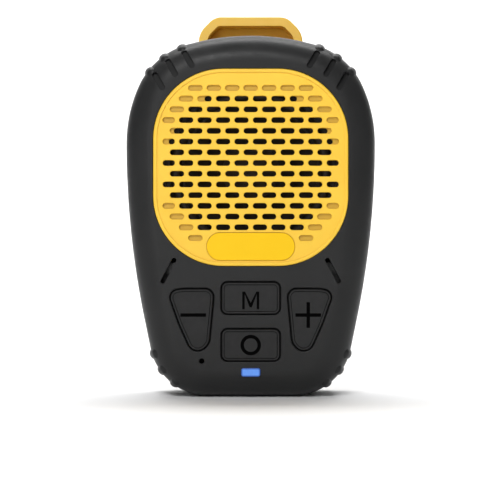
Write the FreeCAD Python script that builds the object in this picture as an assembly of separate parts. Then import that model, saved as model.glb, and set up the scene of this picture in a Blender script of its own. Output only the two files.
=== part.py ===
import FreeCAD, Part
import os
from math import asin, atan2, cos, degrees, hypot, pi, radians, sin, sqrt, tan

# Pocket voice amplifier: a hand-sized loudspeaker with a key panel and a sprung belt clip.
# Millimetres. +Z is up, the grille faces -Y, and the origin is on the flat base, midway in the depth.

# ---------------------------------------------------------------- housing
body_width = 69.0
body_height = 100.0
body_depth = 30.0
wall = 2.0
front_round = 7.5            # edge rounding round the front face
rear_round = 6.0
front_shell_depth = 18.0     # front face to the parting plane
top_arc_end = 15.5           # headings in degrees, 0 at the top centre and 180 along the base
shoulder_end = 66.0
side_taper = 11.7            # lean of the lower sides
shoulder_radius = 21.0
upper_side_radius = 38.8
corner_radius = 16.6
taper_straight = 8.5         # straight run between the side and the base corner
parting_chamfer = 0.25
tongue_height = 1.4
tongue_thickness = 0.9
tongue_gap = 0.1

# grip ribs and grip scoops
rib_width = 2.7              # across its foot
rib_height = 0.6
rib_front_gap = 3.8          # front face to the centre of a rib's round front end
rib_rear_gap = 3.4
top_rib_headings = (20.5, 36.3, 52.0)
base_rib_headings = (107.5, 125.5, 143.5)
scoop_width = 1.65
scoop_length = 6.2
scoop_heading = 60.0         # slope of each scoop, seen from the front
scoop_inset = 5.0            # scoop centre to the outline
scoop_first = 18.4           # heading of the first scoop's centre
scoop_step = 18.3
scoop_mid_depth = 1.85
scoop_tilt = 27.0

# slanted vents beside the key panel
vent_x = 22.5
vent_z = 34.9
vent_length = 7.8
vent_width = 1.28
vent_slope = 62.0

# ---------------------------------------------------------------- grille
grille_width = 53.3
grille_height = 53.9
grille_corner = 19.2
grille_top_gap = 9.9         # body top to grille top
grille_thickness = 1.8
grille_gap = 0.15
grille_rim_width = 1.0
grille_rim_height = 0.35
grille_proud = 0.35          # rim above the front face
seat_floor = 1.6             # thickness of the floor behind the grille
seat_margin = 1.2            # floor beyond the grille outline
slot_pitch_x = 5.04
slot_pitch_z = 2.93
slot_length = 3.85
slot_height = 1.55
slot_mouth = 0.1             # chamfer round each slot
slot_rows = 15
slot_rise = 1.2              # middle row above the grille centre
slot_edge_margin = 2.6       # straight side to the nearest slot end
slot_corner_margin = 1.5     # round corner to the nearest slot end
blind_depth = 0.8
sound_radius = 23.75         # opening of the front shell, in front of the cone
sound_drop = 0.7             # its centre below the grille centre
open_radius = 24.1           # the grille's slots are open inside this circle
open_drop = 1.73             # its centre below the grille centre
open_snap = 0.5              # a slot that passes it by less than this is open from end to end
badge_slot_gap = 0.5         # badge to the slots above it
stake_radius = 1.0
stake_gap = 0.1
stake_reach = 1.6
stake_offset = 19.4          # stake pin from the grille centre, along X and along Z
badge_width = 24.0
badge_height = 7.5
badge_corner = 3.7
badge_drop = 21.65           # badge centre below the grille centre
badge_thickness = 0.5
badge_proud = 0.12

# ---------------------------------------------------------------- keys
key_gap = 0.25
key_proud = 0.35
key_edge_round = 0.45
opening_round = 0.3
key_travel = 0.5
key_flange = 0.8
key_flange_thickness = 0.8
key_flange_gap = 0.1
mode_key_width = 16.4
mode_key_height = 9.2
mode_key_corner = 1.9
mode_key_z = 27.4
power_key_z = 14.6
side_key_z = 22.8            # sign and stem height of the two outer keys
side_key_x = 15.7
side_key_outline = (         # x from the centre line, z, corner radius
    (9.7, 30.2, 2.6),
    (18.8, 30.2, 15.0),
    (23.0, 29.4, 2.4),
    (19.7, 20.1, 30.0),
    (15.2, 10.2, 3.0),
    (11.1, 15.2, 3.1),
)
key_groove_inset = 0.85      # opening edge to the thin line round the key's top
key_groove_width = 0.22
glyph_depth = 0.15           # signs and line, below the key's top
glyph_stroke = 0.95
glyph_length = 7.0
ring_radius = 2.8
ring_stroke = 0.95
letter_width = 4.6
letter_height = 4.8
letter_stroke = 0.65
letter_drop = 0.6            # letter below the centre of its key
stem_radius = 1.5
stem_gap = 0.3
mat_thickness = 0.6
mat_rim = 1.1
mat_top_z = 34.0

# indicator and microphone
lens_width = 5.2
lens_height = 2.3
lens_z = 7.1
lens_gap = 0.05
lens_flange = 0.6
mic_hole_radius = 0.75
mic_x = 13.4
mic_z = 10.2
mic_radius = 2.0
mic_height = 1.5
mic_boot_wall = 0.5

# ---------------------------------------------------------------- main board
board_gap = 1.0              # housing wall to the board's edge
board_from_front = 6.8       # front face to the board's front side
board_thickness = 1.2
board_top_z = 37.0
post_radius = 1.9
post_points = ((9.0, 35.0), (8.6, 5.4))
board_screw_radius = 0.8
switch_side = 5.2
switch_height = 1.3
plunger_radius = 1.0
plunger_gap = 0.1
plunger_proud = 0.6
plunger_length = 0.9

# ---------------------------------------------------------------- ports on the left side
jack_z = 21.0
jack_bore_radius = 1.8
jack_nose_radius = 2.6
jack_nose_length = 3.0
jack_body = (11.5, 5.2, 6.4)   # along X, Y and Z
jack_inset = 0.5               # nose below the outer surface
jack_hole_gap = 0.2
jack_bore_depth = 12.0
usb_z = 32.0
usb_width = 8.94
usb_height = 3.26
usb_depth = 7.35
usb_wall = 0.3
usb_inset = 0.9
usb_hole_gap = 0.25
usb_tongue_width = 6.7
usb_tongue_thickness = 0.7

# ---------------------------------------------------------------- speaker
speaker_radius = 25.0
gasket_width = 1.1
surround_lip = 1.3           # gasket side of the surround, glued to the flange
gasket_thickness = 0.5
flange_thickness = 0.9
frame_sheet = 0.8
frame_bore = 9.0
surround_width = 3.4
surround_rise = 1.3
surround_thickness = 0.4
cone_thickness = 0.4
cone_depth = 5.4
coil_radius = 6.4
coil_gap = 0.3
coil_thickness = 0.6
former_length = 8.6
cone_travel = 1.0
spider_radius = 15.2
spider_thickness = 0.25
spider_wave = 0.45
plate_radius = 15.0
plate_thickness = 2.0
magnet_radius = 16.0
magnet_thickness = 5.5
magnet_bore = 9.0
yoke_thickness = 1.7
dust_cap_radius = 8.0
dust_cap_rise = 3.0
frame_depth = 8.9            # flange back to the top plate
speaker_screw_angles = (15.0, 165.0, 195.0, 345.0)
speaker_boss_radius = 1.9
speaker_boss_gap = 0.3
speaker_screw_head = 2.9
speaker_screw_head_height = 1.0

# ---------------------------------------------------------------- battery
battery_width = 40.0
battery_height = 32.0
battery_thickness = 8.5
battery_round = 2.0
battery_z = 12.5
foam_thickness = 1.0
foam_margin = 4.0
lead_radius = 0.6

# ---------------------------------------------------------------- housing screws
screw_points = ((23.3, 88.0), (19.3, 8.4))
boss_radius = 2.75
screw_radius = 1.0
screw_gap = 0.3
screw_head_radius = 2.0
screw_head_height = 1.5
counterbore_radius = 2.35
counterbore_depth = 6.0
screw_length = 14.0
pilot_spare = 1.0            # pilot hole beyond the screw's tip

# ---------------------------------------------------------------- belt clip
clip_pivot_z = 78.0
clip_pivot_out = 4.8         # pin axis behind the rear face
clip_half_width = 15.3
clip_top_z = 109.2
clip_top_half_width = 10.6   # where the sloping corner meets the top
clip_top_corner = 4.6
clip_shoulder_z = 104.4      # where the sloping corner meets the side
clip_shoulder_round = 6.5
clip_tip_z = 36.0
clip_tip_half_width = 9.5
clip_wall = 2.6
clip_rim = 2.65
clip_plate = 2.2
clip_plate_out = 8.2         # rear face to the inside of the lower arm
clip_flare = 4.2             # how far the thumb end leans back
clip_rim_front_low = 2.6     # rim's front edge behind the rear face, at the pivot
clip_rim_front_high = 5.3
clip_arm_rim = 1.8
clip_jaw_gap = 0.3
clip_jaw_height = 3.4
clip_lug_radius = 3.2
clip_edge_round = 0.9        # back edges
clip_rim_round = 0.4         # front edges of the thumb tray
clip_bend_radius = 40.0
lanyard_radius = 2.0
lanyard_z = 100.7
pin_radius = 1.0
pin_fit = 0.02
pin_running = 0.08
pin_head_radius = 1.7
pin_head_height = 0.6
ear_thickness = 2.2
ear_side_gap = 0.5
ear_radius = 2.9
bracket_height = 20.0
bracket_thickness = 1.8
bracket_corner = 3.0
bracket_screw_x = 8.0
bracket_screw_z = 6.6        # above and below the pivot
bracket_screw_radius = 1.1
bracket_screw_head = 2.1
bracket_screw_length = 5.6
spring_radius = 2.0
spring_wire = 0.4
spring_turns = 4             # whole turns; the leg and the arm add their share
spring_pitch = 0.95
spring_leg = 7.5
spring_arm = 14.5
spring_leg_lean = 4.0        # degrees, towards the bracket
spring_arm_lean = 9.0        # degrees, towards the lever

# ---------------------------------------------------------------- worked out
front_y = -body_depth / 2
rear_y = body_depth / 2
split_y = front_y + front_shell_depth
inside_front_y = front_y + wall
inside_rear_y = rear_y - wall
grille_z = body_height - grille_top_gap - grille_height / 2
recess_floor_y = front_y + grille_thickness
seat_back_y = recess_floor_y + seat_floor
sound_z = grille_z - sound_drop
badge_top_z = grille_z - badge_drop + badge_height / 2
board_front_y = front_y + board_from_front
board_back_y = board_front_y + board_thickness
clip_y = rear_y + clip_pivot_out
key_back_y = inside_front_y + key_flange_gap + key_flange_thickness
plunger_top_y = board_front_y - switch_height - plunger_proud
mat_front_y = key_back_y + key_travel + 0.2


def vec(x, y, z):
    return FreeCAD.Vector(x, y, z)


# ---------------------------------------------------------------- drawing helpers
def rounded_polygon(corners):
    """Closed wire in the XZ plane through (x, z, radius) corners. Radius 0 leaves a corner sharp."""
    count = len(corners)
    starts, ends, arcs = [], [], []
    for i, (x, z, radius) in enumerate(corners):
        here = vec(x, 0, z)
        before = vec(corners[i - 1][0], 0, corners[i - 1][1])
        after = vec(corners[(i + 1) % count][0], 0, corners[(i + 1) % count][1])
        back = (before - here).normalize()
        ahead = (after - here).normalize()
        half = back.getAngle(ahead) / 2
        reach = radius / tan(half)
        starts.append(here + back * reach)
        ends.append(here + ahead * reach)
        arcs.append(None)
        if radius > 0:
            bisector = (back + ahead).normalize()
            middle = here + bisector * (radius / sin(half) - radius)
            arcs[i] = Part.Arc(starts[i], middle, ends[i]).toShape()
    edges = []
    for i in range(count):
        if arcs[i]:
            edges.append(arcs[i])
        following = starts[(i + 1) % count]
        if ends[i].distanceToPoint(following) > 1e-6:
            edges.append(Part.makeLine(ends[i], following))
    return Part.Wire(edges)


def rounded_rectangle(x, z, width, height, radius):
    left, right = x - width / 2, x + width / 2
    low, high = z - height / 2, z + height / 2
    return rounded_polygon(
        [(left, low, radius), (left, high, radius), (right, high, radius), (right, low, radius)]
    )


def pill(x, z, length, width):
    """Slot outline with round ends, lying along X."""
    half = (length - width) / 2
    radius = width / 2
    edges = [
        Part.makeLine(vec(x - half, 0, z + radius), vec(x + half, 0, z + radius)),
        Part.Arc(vec(x + half, 0, z + radius), vec(x + half + radius, 0, z),
                 vec(x + half, 0, z - radius)).toShape(),
        Part.makeLine(vec(x + half, 0, z - radius), vec(x - half, 0, z - radius)),
        Part.Arc(vec(x - half, 0, z - radius), vec(x - half - radius, 0, z),
                 vec(x - half, 0, z + radius)).toShape(),
    ]
    return Part.Wire(edges)


def grown(wire, distance):
    """The wire moved outwards by distance, or inwards when it is negative."""
    if distance == 0:
        return wire
    return wire.makeOffset2D(distance)


def prism(wire, y0, y1):
    """Solid between two Y planes with the wire as its section."""
    face = Part.Face(wire)
    face.translate(vec(0, y0, 0))
    return face.extrude(vec(0, y1 - y0, 0))


def disc(x, z, radius, y0, y1):
    return Part.makeCylinder(radius, y1 - y0, vec(x, y0, z), vec(0, 1, 0))


def tube(x, z, outer, inner, y0, y1):
    return disc(x, z, outer, y0, y1).cut(disc(x, z, inner, y0 - 1, y1 + 1))


def block(x0, x1, y0, y1, z0, z1):
    return Part.makeBox(x1 - x0, y1 - y0, z1 - z0, vec(x0, y0, z0))


def side_prism(corners, half_width):
    """Solid across X whose section is the rounded polygon of (y, z, radius) corners."""
    solid = prism(rounded_polygon(corners), -half_width, half_width)
    solid.rotate(vec(0, 0, 0), vec(0, 0, 1), 90)
    return solid


def revolved(points):
    """Solid of revolution about the speaker's axis from (radius, y) points."""
    corners = [vec(r, y, sound_z) for r, y in points]
    face = Part.Face(Part.makePolygon(corners + corners[:1]))
    return face.revolve(vec(0, 0, sound_z), vec(0, 1, 0), 360)


def edges_on_y(shape, y, inside=None):
    """Edges that lie in the plane of y, and inside the (x0, x1, z0, z1) window if one is given."""
    found = []
    for edge in shape.Edges:
        box = edge.BoundBox
        if abs(box.YMin - y) > 1e-4 or abs(box.YMax - y) > 1e-4:
            continue
        if inside and not (inside[0] < box.XMin and box.XMax < inside[1]
                           and inside[2] < box.ZMin and box.ZMax < inside[3]):
            continue
        found.append(edge)
    return found


def window(wire, margin):
    box = wire.BoundBox
    return (box.XMin - margin, box.XMax + margin, box.ZMin - margin, box.ZMax + margin)


def mirrored(shape):
    return shape.mirror(vec(0, 0, 0), vec(1, 0, 0))


def fused(shapes):
    solid = shapes[0]
    for other in shapes[1:]:
        solid = solid.fuse(other)
    return solid.removeSplitter()


def four_ways(points):
    """Each (x, z) point and its mirror image."""
    return [(side * x, z) for x, z in points for side in (-1, 1)]


def wire_tube(points, radius):
    """Round lead through the points: straight runs joined by tangent arcs."""
    edges = []
    start = points[0]
    for i in range(1, len(points) - 1):
        here = points[i]
        back = (points[i - 1] - here)
        ahead = (points[i + 1] - here)
        reach = 0.45 * min(back.Length, ahead.Length)
        back.normalize()
        ahead.normalize()
        half = back.getAngle(ahead) / 2
        bend = reach * tan(half)
        first, last = here + back * reach, here + ahead * reach
        middle = here + (back + ahead).normalize() * (bend / sin(half) - bend)
        edges.append(Part.makeLine(start, first))
        edges.append(Part.Arc(first, middle, last).toShape())
        start = last
    edges.append(Part.makeLine(start, points[-1]))
    path = Part.Wire(edges)
    section = Part.Wire(Part.makeCircle(radius, points[0], points[1] - points[0]))
    return path.makePipeShell([section], True, False)


# ---------------------------------------------------------------- housing outline
def outline_stretches():
    """(end heading, radius) of the right side's arcs. The top and side radii follow the body size."""
    a, b, t = radians(top_arc_end), radians(shoulder_end), radians(side_taper)
    width_left = body_width / 2 - shoulder_radius * (sin(b) - sin(a)) - upper_side_radius * (1 - sin(b))
    top_radius = width_left / sin(a)
    upper = (top_radius * (1 - cos(a)) + shoulder_radius * (cos(a) - cos(b))
             + upper_side_radius * cos(b))
    lower = taper_straight * cos(t) + corner_radius * (1 - sin(t))
    side_radius = (body_height - upper - lower) / sin(t)
    return [
        (top_arc_end, top_radius),
        (shoulder_end, shoulder_radius),
        (90.0, upper_side_radius),
        (90.0 + side_taper, side_radius),
        (180.0, corner_radius),
    ]


def outline_point(heading, inset=0.0):
    """Point of the right side's outline where it runs at that heading, moved inwards by inset."""
    x, z, at = 0.0, body_height, 0.0
    for end, radius in outline_stretches():
        if at == 90.0 + side_taper:
            x -= taper_straight * sin(radians(side_taper))
            z -= taper_straight * cos(radians(side_taper))
        stop = min(heading, end)
        x += radius * (sin(radians(stop)) - sin(radians(at)))
        z -= radius * (cos(radians(at)) - cos(radians(stop)))
        at = end
        if heading <= end:
            break
    return x - inset * sin(radians(heading)), z - inset * cos(radians(heading))


def body_wire(inset=0.0):
    """Closed housing outline, moved inwards by inset."""
    top = radians(top_arc_end)
    side = []
    x, z, at = None, None, 0.0
    for end, radius in outline_stretches():
        r = radius - inset
        if at == 0.0:
            x, z = r * sin(top), body_height - inset - r * (1 - cos(top))
            left, middle, right = vec(-x, 0, z), vec(0, 0, body_height - inset), vec(x, 0, z)
            top_edge = Part.Arc(left, middle, right).toShape()
            at = end
            continue
        if at == 90.0 + side_taper:
            down = vec(-sin(radians(side_taper)), 0, -cos(radians(side_taper))) * taper_straight
            side.append(Part.makeLine(vec(x, 0, z), vec(x, 0, z) + down))
            x, z = x + down.x, z + down.z
        points = []
        for heading in (at, (at + end) / 2, end):
            points.append(vec(x + r * (sin(radians(heading)) - sin(radians(at))), 0,
                              z - r * (cos(radians(at)) - cos(radians(heading)))))
        side.append(Part.Arc(*points).toShape())
        x, z = points[-1].x, points[-1].z
        at = end
    base = Part.makeLine(vec(x, 0, z), vec(-x, 0, z))
    other = [mirrored(edge) for edge in side]
    return Part.Wire(Part.__sortEdges__([top_edge, base] + side + other))


def half_width_at(z):
    """Half of the housing's width at that height."""
    line = Part.makeLine(vec(0, 0, z), vec(body_width, 0, z))
    return line.common(Part.Face(body_wire())).BoundBox.XMax


def body_block(inset, y0, y1):
    """The housing's solid shape between y0 and y1, inset all over, with its rounded edges."""
    low, high = front_y + inset, rear_y - inset
    solid = prism(body_wire(inset), low, high)
    solid = solid.makeFillet(front_round - inset, edges_on_y(solid, low))
    solid = solid.makeFillet(rear_round - inset, edges_on_y(solid, high))
    big = body_height + body_width
    return solid.common(block(-big, big, y0, y1, -big, big))


def rib_bar():
    """Round-backed rib on the crest of the housing: it bends with the front and rear edge rounding."""
    radius = (rib_width ** 2 / 4 + rib_height ** 2) / (2 * rib_height)
    sink = radius - rib_height
    path = []
    for face, edge_round, gap, inward in ((front_y, front_round, rib_front_gap, 1),
                                          (rear_y, rear_round, rib_rear_gap, -1)):
        bend = asin((edge_round - gap) / edge_round)
        reach = edge_round - sink
        for turn in (bend, bend / 2, 0):
            path.append(vec(0, face + inward * (edge_round - reach * sin(turn)),
                            reach * cos(turn) - edge_round))
    line = Part.makeLine(path[2], path[5])
    wire = Part.Wire([Part.Arc(*path[:3]).toShape(), line, Part.Arc(*path[5:2:-1]).toShape()])
    start = path[0]
    heading = vec(0, start.z + front_round, front_y + front_round - start.y)
    rib = wire.makePipeShell([Part.Wire(Part.makeCircle(radius, start, heading))], True, False)
    return rib.fuse(Part.makeSphere(radius, path[0])).fuse(Part.makeSphere(radius, path[3]))


def grip_ribs(y0, y1):
    """Ribs across the four rounded corners, between y0 and y1."""
    core = body_block(wall / 2, front_y, rear_y)
    zone = block(-body_width, body_width, y0, y1, -wall, body_height + wall)
    ribs = []
    for heading in top_rib_headings + base_rib_headings:
        x, z = outline_point(heading)
        rib = rib_bar()
        rib.rotate(vec(0, 0, 0), vec(0, 1, 0), heading)
        rib.translate(vec(x, 0, z))
        rib = rib.common(zone).cut(core)
        ribs += [rib, mirrored(rib)]
    return ribs


def grip_scoops():
    """Tilted pockets on the front of the two upper corners."""
    cutters = []
    for step in range(3):
        heading = scoop_first + scoop_step * step
        x, z = outline_point(heading, scoop_inset)
        cutter = prism(pill(0, 0, scoop_length, scoop_width), -4, 0)
        cutter.rotate(vec(0, 0, 0), vec(0, 0, 1), scoop_tilt)
        cutter.rotate(vec(0, 0, 0), vec(0, 1, 0), -scoop_heading)
        cutter.translate(vec(x, front_y + scoop_mid_depth, z))
        cutters += [cutter, mirrored(cutter)]
    return cutters


def vents():
    slots = []
    for side in (-1, 1):
        slot = prism(pill(0, 0, vent_length, vent_width), front_y - 1, inside_front_y + 1)
        slot.rotate(vec(0, 0, 0), vec(0, 1, 0), side * vent_slope)
        slot.translate(vec(side * vent_x, 0, vent_z))
        slots.append(slot)
    return slots


# ---------------------------------------------------------------- key outlines
def key_wires():
    """Housing opening of each key, by name."""
    right = rounded_polygon(list(side_key_outline))
    left = rounded_polygon([(-x, z, r) for x, z, r in reversed(side_key_outline)])
    return {
        "mode": rounded_rectangle(0, mode_key_z, mode_key_width, mode_key_height, mode_key_corner),
        "power": rounded_rectangle(0, power_key_z, mode_key_width, mode_key_height, mode_key_corner),
        "minus": left,
        "plus": right,
    }


def key_centres():
    return {
        "mode": (0, mode_key_z),
        "power": (0, power_key_z),
        "minus": (-side_key_x, side_key_z),
        "plus": (side_key_x, side_key_z),
    }


def lens_wire(extra):
    return rounded_rectangle(0, lens_z, lens_width + 2 * extra, lens_height + 2 * extra,
                             lens_height * 0.3)


def bar_glyph(x, z, length, height):
    return prism(rounded_rectangle(x, z, length, height, min(length, height) * 0.12),
                 front_y - key_proud - 1, front_y - key_proud + glyph_depth)


def letter_glyph(x, z):
    """The letter M, drawn with even strokes."""
    y0, y1 = front_y - key_proud - 1, front_y - key_proud + glyph_depth
    w, h, s = letter_width / 2, letter_height / 2, letter_stroke
    foot = s * 1.15
    points = [(-w, -h), (-w, h), (-w + foot, h), (0, -h * 0.55 + s), (w - foot, h), (w, h), (w, -h),
              (w - s, -h), (w - s, h * 0.72), (s * 0.45, -h * 0.78), (-s * 0.45, -h * 0.78),
              (-w + s, h * 0.72), (-w + s, -h)]
    corners = [vec(x + px, y0, z + pz) for px, pz in points]
    face = Part.Face(Part.makePolygon(corners + corners[:1]))
    return face.extrude(vec(0, y1 - y0, 0))


def glyph(name):
    x, z = key_centres()[name]
    if name == "mode":
        return letter_glyph(x, z - letter_drop)
    if name == "power":
        ring = disc(x, z, ring_radius, front_y - key_proud - 1, front_y - key_proud + glyph_depth)
        return ring.cut(disc(x, z, ring_radius - ring_stroke, front_y - 5, front_y))
    if name == "minus":
        return bar_glyph(x, z, glyph_length, glyph_stroke)
    return bar_glyph(x, z, glyph_length, glyph_stroke).fuse(
        bar_glyph(x, z, glyph_stroke, glyph_length))


# ---------------------------------------------------------------- housing pieces
def speaker_bosses():
    """Centres of the posts that clamp the speaker's flange."""
    reach = speaker_radius + speaker_boss_gap + speaker_boss_radius
    return [(reach * cos(radians(a)), sound_z + reach * sin(radians(a)))
            for a in speaker_screw_angles]


def usb_opening(extra, x0, x1):
    """Rounded slot along X at the charging port."""
    centre_y = board_back_y + usb_height / 2
    slot = prism(pill(0, 0, usb_width + 2 * extra, usb_height + 2 * extra), 0, x1 - x0)
    slot.rotate(vec(0, 0, 0), vec(0, 1, 0), 90)
    slot.rotate(vec(0, 0, 0), vec(0, 0, 1), -90)
    slot.translate(vec(x0, centre_y, usb_z))
    return slot


def jack_axis_y():
    return board_back_y + jack_body[1] / 2


def front_shell():
    shell = body_block(0, front_y - 1, split_y).cut(body_block(wall, front_y, split_y + 1))
    shell = shell.makeChamfer(parting_chamfer, outer_ring(shell))
    seat = prism(grown(grille_wire(), seat_margin), inside_front_y - 0.2, seat_back_y)
    shell = shell.fuse(seat.common(body_block(wall / 2, front_y, split_y)))
    posts = [disc(x, z, boss_radius, inside_front_y - 0.2, split_y) for x, z in four_ways(screw_points)]
    posts += [disc(x, z, post_radius, inside_front_y - 0.2, board_front_y)
              for x, z in four_ways(post_points)]
    clamp_y = seat_back_y + gasket_thickness + flange_thickness
    posts += [disc(x, z, speaker_boss_radius, inside_front_y - 0.2, clamp_y)
              for x, z in speaker_bosses()]
    for post in posts:
        shell = shell.fuse(post.common(body_block(wall / 2, front_y, split_y)))
    shell = fused([shell] + grip_ribs(front_y - 1, split_y - parting_chamfer))
    shell = shell.cut(prism(grown(grille_wire(), grille_gap), front_y - 1, recess_floor_y))
    shell = shell.cut(disc(0, sound_z, sound_radius, front_y, seat_back_y + 1))
    shell = shell.cut(prism(body_wire(tongue_inset() - tongue_gap), split_y - tongue_height - tongue_gap,
                            split_y + 1).cut(core_below_tongue()))
    holes = [disc(x, z, stake_radius + stake_gap, front_y, seat_back_y + 1) for x, z in stakes()]
    holes += [disc(x, z, screw_radius, split_y - screw_reach() - pilot_spare, split_y + 1)
              for x, z in four_ways(screw_points)]
    holes += [disc(x, z, board_screw_radius, inside_front_y + 0.6, board_front_y + 1)
              for x, z in four_ways(post_points)]
    holes += [disc(x, z, board_screw_radius, inside_front_y, clamp_y + 1)
              for x, z in speaker_bosses()]
    holes += [disc(-mic_x, mic_z, mic_hole_radius, front_y - 1, inside_front_y + 1)]
    for hole in holes + vents():
        shell = shell.cut(hole)
    openings = list(key_wires().values()) + [lens_wire(lens_gap)]
    for wire in openings:
        shell = shell.cut(prism(wire, front_y - 1, inside_front_y + 1))
    for wire in list(key_wires().values()):
        shell = shell.makeFillet(opening_round, edges_on_y(shell, front_y, window(wire, 0.3)))
    for cutter in grip_scoops():
        shell = shell.cut(cutter)
    outside = -half_width_at(usb_z) - 3
    shell = shell.cut(usb_opening(usb_hole_gap, outside, -half_width_at(usb_z) + wall + 3))
    jack_hole = Part.makeCylinder(jack_nose_radius + jack_hole_gap, wall + 6,
                                  vec(-half_width_at(jack_z) - 3, jack_axis_y(), jack_z), vec(1, 0, 0))
    return shell.cut(jack_hole)


def outer_ring(shell):
    """The outer edges of a shell at the parting plane."""
    return [e for e in edges_on_y(shell, split_y)
            if body_wire().distToShape(Part.Vertex(e.CenterOfMass.x, 0, e.CenterOfMass.z))[0] < wall
            and on_outline(e)]


def on_outline(edge):
    middle = edge.valueAt((edge.FirstParameter + edge.LastParameter) / 2)
    return body_wire().distToShape(Part.Vertex(middle.x, 0, middle.z))[0] < 0.01


def tongue_inset():
    return wall - tongue_thickness


def core_below_tongue():
    """Everything inside the wall, which the rebate leaves alone."""
    return prism(body_wire(wall), front_y, split_y + 2)


def screw_reach():
    """Depth of a housing screw beyond the parting plane."""
    return screw_length - (rear_y - counterbore_depth - split_y)


def stakes():
    return [(sx * stake_offset, grille_z + sz * stake_offset) for sx in (-1, 1) for sz in (-1, 1)]


def rear_shell():
    shell = body_block(0, split_y, rear_y + 1).cut(body_block(wall, split_y - 1, rear_y))
    shell = shell.makeChamfer(parting_chamfer, outer_ring(shell))
    tongue = prism(body_wire(tongue_inset()), split_y - tongue_height, split_y + 0.5).cut(
        prism(body_wire(wall), front_y, rear_y))
    bosses = [disc(x, z, boss_radius, split_y, inside_rear_y + 0.2) for x, z in four_ways(screw_points)]
    bosses += [disc(x, z, bracket_screw_radius + 1.4, inside_rear_y - 3, inside_rear_y + 0.2)
               for x, z in bracket_screws()]
    for boss in bosses:
        shell = shell.fuse(boss.common(body_block(wall / 2, split_y, rear_y)))
    shell = fused([shell, tongue] + battery_ribs() + grip_ribs(split_y + parting_chamfer, rear_y + 1))
    floor_y = rear_y - counterbore_depth
    for x, z in four_ways(screw_points):
        shell = shell.cut(disc(x, z, counterbore_radius, floor_y, rear_y + 1))
        shell = shell.cut(disc(x, z, screw_radius + screw_gap, split_y - 1, rear_y))
    for x, z in bracket_screws():
        shell = shell.cut(disc(x, z, bracket_screw_radius, inside_rear_y - 2.6, rear_y + 1))
    return shell


def battery_ribs():
    """Short ledges on the rear wall that hold the cell's edges."""
    middle = battery_z + battery_height / 2
    reach = battery_width / 2 + 0.3
    ribs = []
    for side in (-1, 1):
        x0, x1 = sorted((side * reach, side * (reach + 1.2)))
        ribs.append(block(x0, x1, inside_rear_y - 5, inside_rear_y + 0.2, middle - 6, middle + 6))
    low = battery_z - 0.3
    ribs.append(block(-6, 6, inside_rear_y - 5, inside_rear_y + 0.2, low - 1.2, low))
    return ribs


def housing_screws():
    floor_y = rear_y - counterbore_depth
    screws = []
    for x, z in four_ways(screw_points):
        shank = disc(x, z, screw_radius - pin_fit, floor_y - screw_length, floor_y)
        head = disc(x, z, screw_head_radius, floor_y, floor_y + screw_head_height)
        head = head.makeFillet(0.4, edges_on_y(head, floor_y + screw_head_height))
        screws.append(shank.fuse(head).cut(cross_recess(x, floor_y + screw_head_height, z, 1.1)))
    return Part.makeCompound(screws)


def cross_recess(x, y, z, reach):
    """Cross-head recess below the plane of y."""
    width, depth = reach * 0.45, 0.8
    flat = block(x - reach, x + reach, y - depth, y + 1, z - width / 2, z + width / 2)
    tall = block(x - width / 2, x + width / 2, y - depth, y + 1, z - reach, z + reach)
    return flat.fuse(tall)


# ---------------------------------------------------------------- grille
def grille_wire():
    return rounded_rectangle(0, grille_z, grille_width, grille_height, grille_corner)


def grille_slots():
    """(side, inner end, outer end, z, open length) of every slot, in staggered rows round the badge."""
    slots = []
    middle = grille_z + slot_rise
    for row in range(slot_rows):
        z = middle + (slot_rows // 2 - row) * slot_pitch_z
        shift = 0.5 * (row % 2)
        for k in range(-6, 6):
            x = (k + shift) * slot_pitch_x
            inner = abs(x) - slot_length / 2
            outer = min(abs(x) + slot_length / 2, grille_width / 2 - slot_edge_margin)
            if outer - inner < slot_length * 0.75 or outer > grille_half_width(z) - slot_corner_margin:
                continue
            if z < badge_top_z + badge_slot_gap + slot_height / 2 and inner < badge_width / 2:
                continue
            side = 1 if x >= 0 else -1
            slots.append((side, inner, outer, z, open_length(inner, outer, z) if row > 0 else 0))
    return slots


def open_length(inner, outer, z):
    """Length of a slot, from its inner end, that lies inside the circle of open slots."""
    rise = z - grille_z + open_drop
    snap = open_snap if rise > 0 else open_snap / 2
    if hypot(outer, rise) < open_radius + snap:
        return outer - inner
    if rise < 0 or hypot(inner, rise) > open_radius:
        return 0
    return max(sqrt(open_radius ** 2 - rise ** 2) - inner, slot_height + 0.1)


def grille_half_width(z):
    """Half width of the grille at that height."""
    up = abs(z - grille_z) - (grille_height / 2 - grille_corner)
    if up <= 0:
        return grille_width / 2
    return grille_width / 2 - grille_corner + sqrt(max(grille_corner ** 2 - up ** 2, 0))


def speaker_grille():
    top_y = front_y - grille_proud
    plate = prism(grille_wire(), top_y, recess_floor_y)
    plate = plate.makeFillet(0.4, edges_on_y(plate, top_y))
    plate = plate.cut(prism(grown(grille_wire(), -grille_rim_width), top_y - 1, top_y + grille_rim_height))
    face_y = top_y + grille_rim_height
    blind, through, mouths = [], [], []
    for side, inner, outer, z, reach in grille_slots():
        x = side * (inner + outer) / 2
        blind.append(prism(pill(x, z, outer - inner, slot_height), face_y - 1, face_y + blind_depth))
        mouths.append(slot_mouth_cutter(x, z, outer - inner, face_y))
        if reach > 0:
            wire = pill(side * (inner + reach / 2), z, reach, slot_height)
            through.append(prism(wire, face_y - 1, recess_floor_y + 1))
    plate = plate.cut(Part.makeCompound(blind))
    plate = plate.cut(Part.makeCompound(through))
    plate = plate.cut(Part.makeCompound(mouths))
    plate = plate.cut(prism(badge_wire(grille_gap), face_y - 1, face_y + badge_thickness - badge_proud))
    for x, z in stakes():
        plate = plate.fuse(disc(x, z, stake_radius, recess_floor_y - 0.5, recess_floor_y + stake_reach))
    return plate


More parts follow.
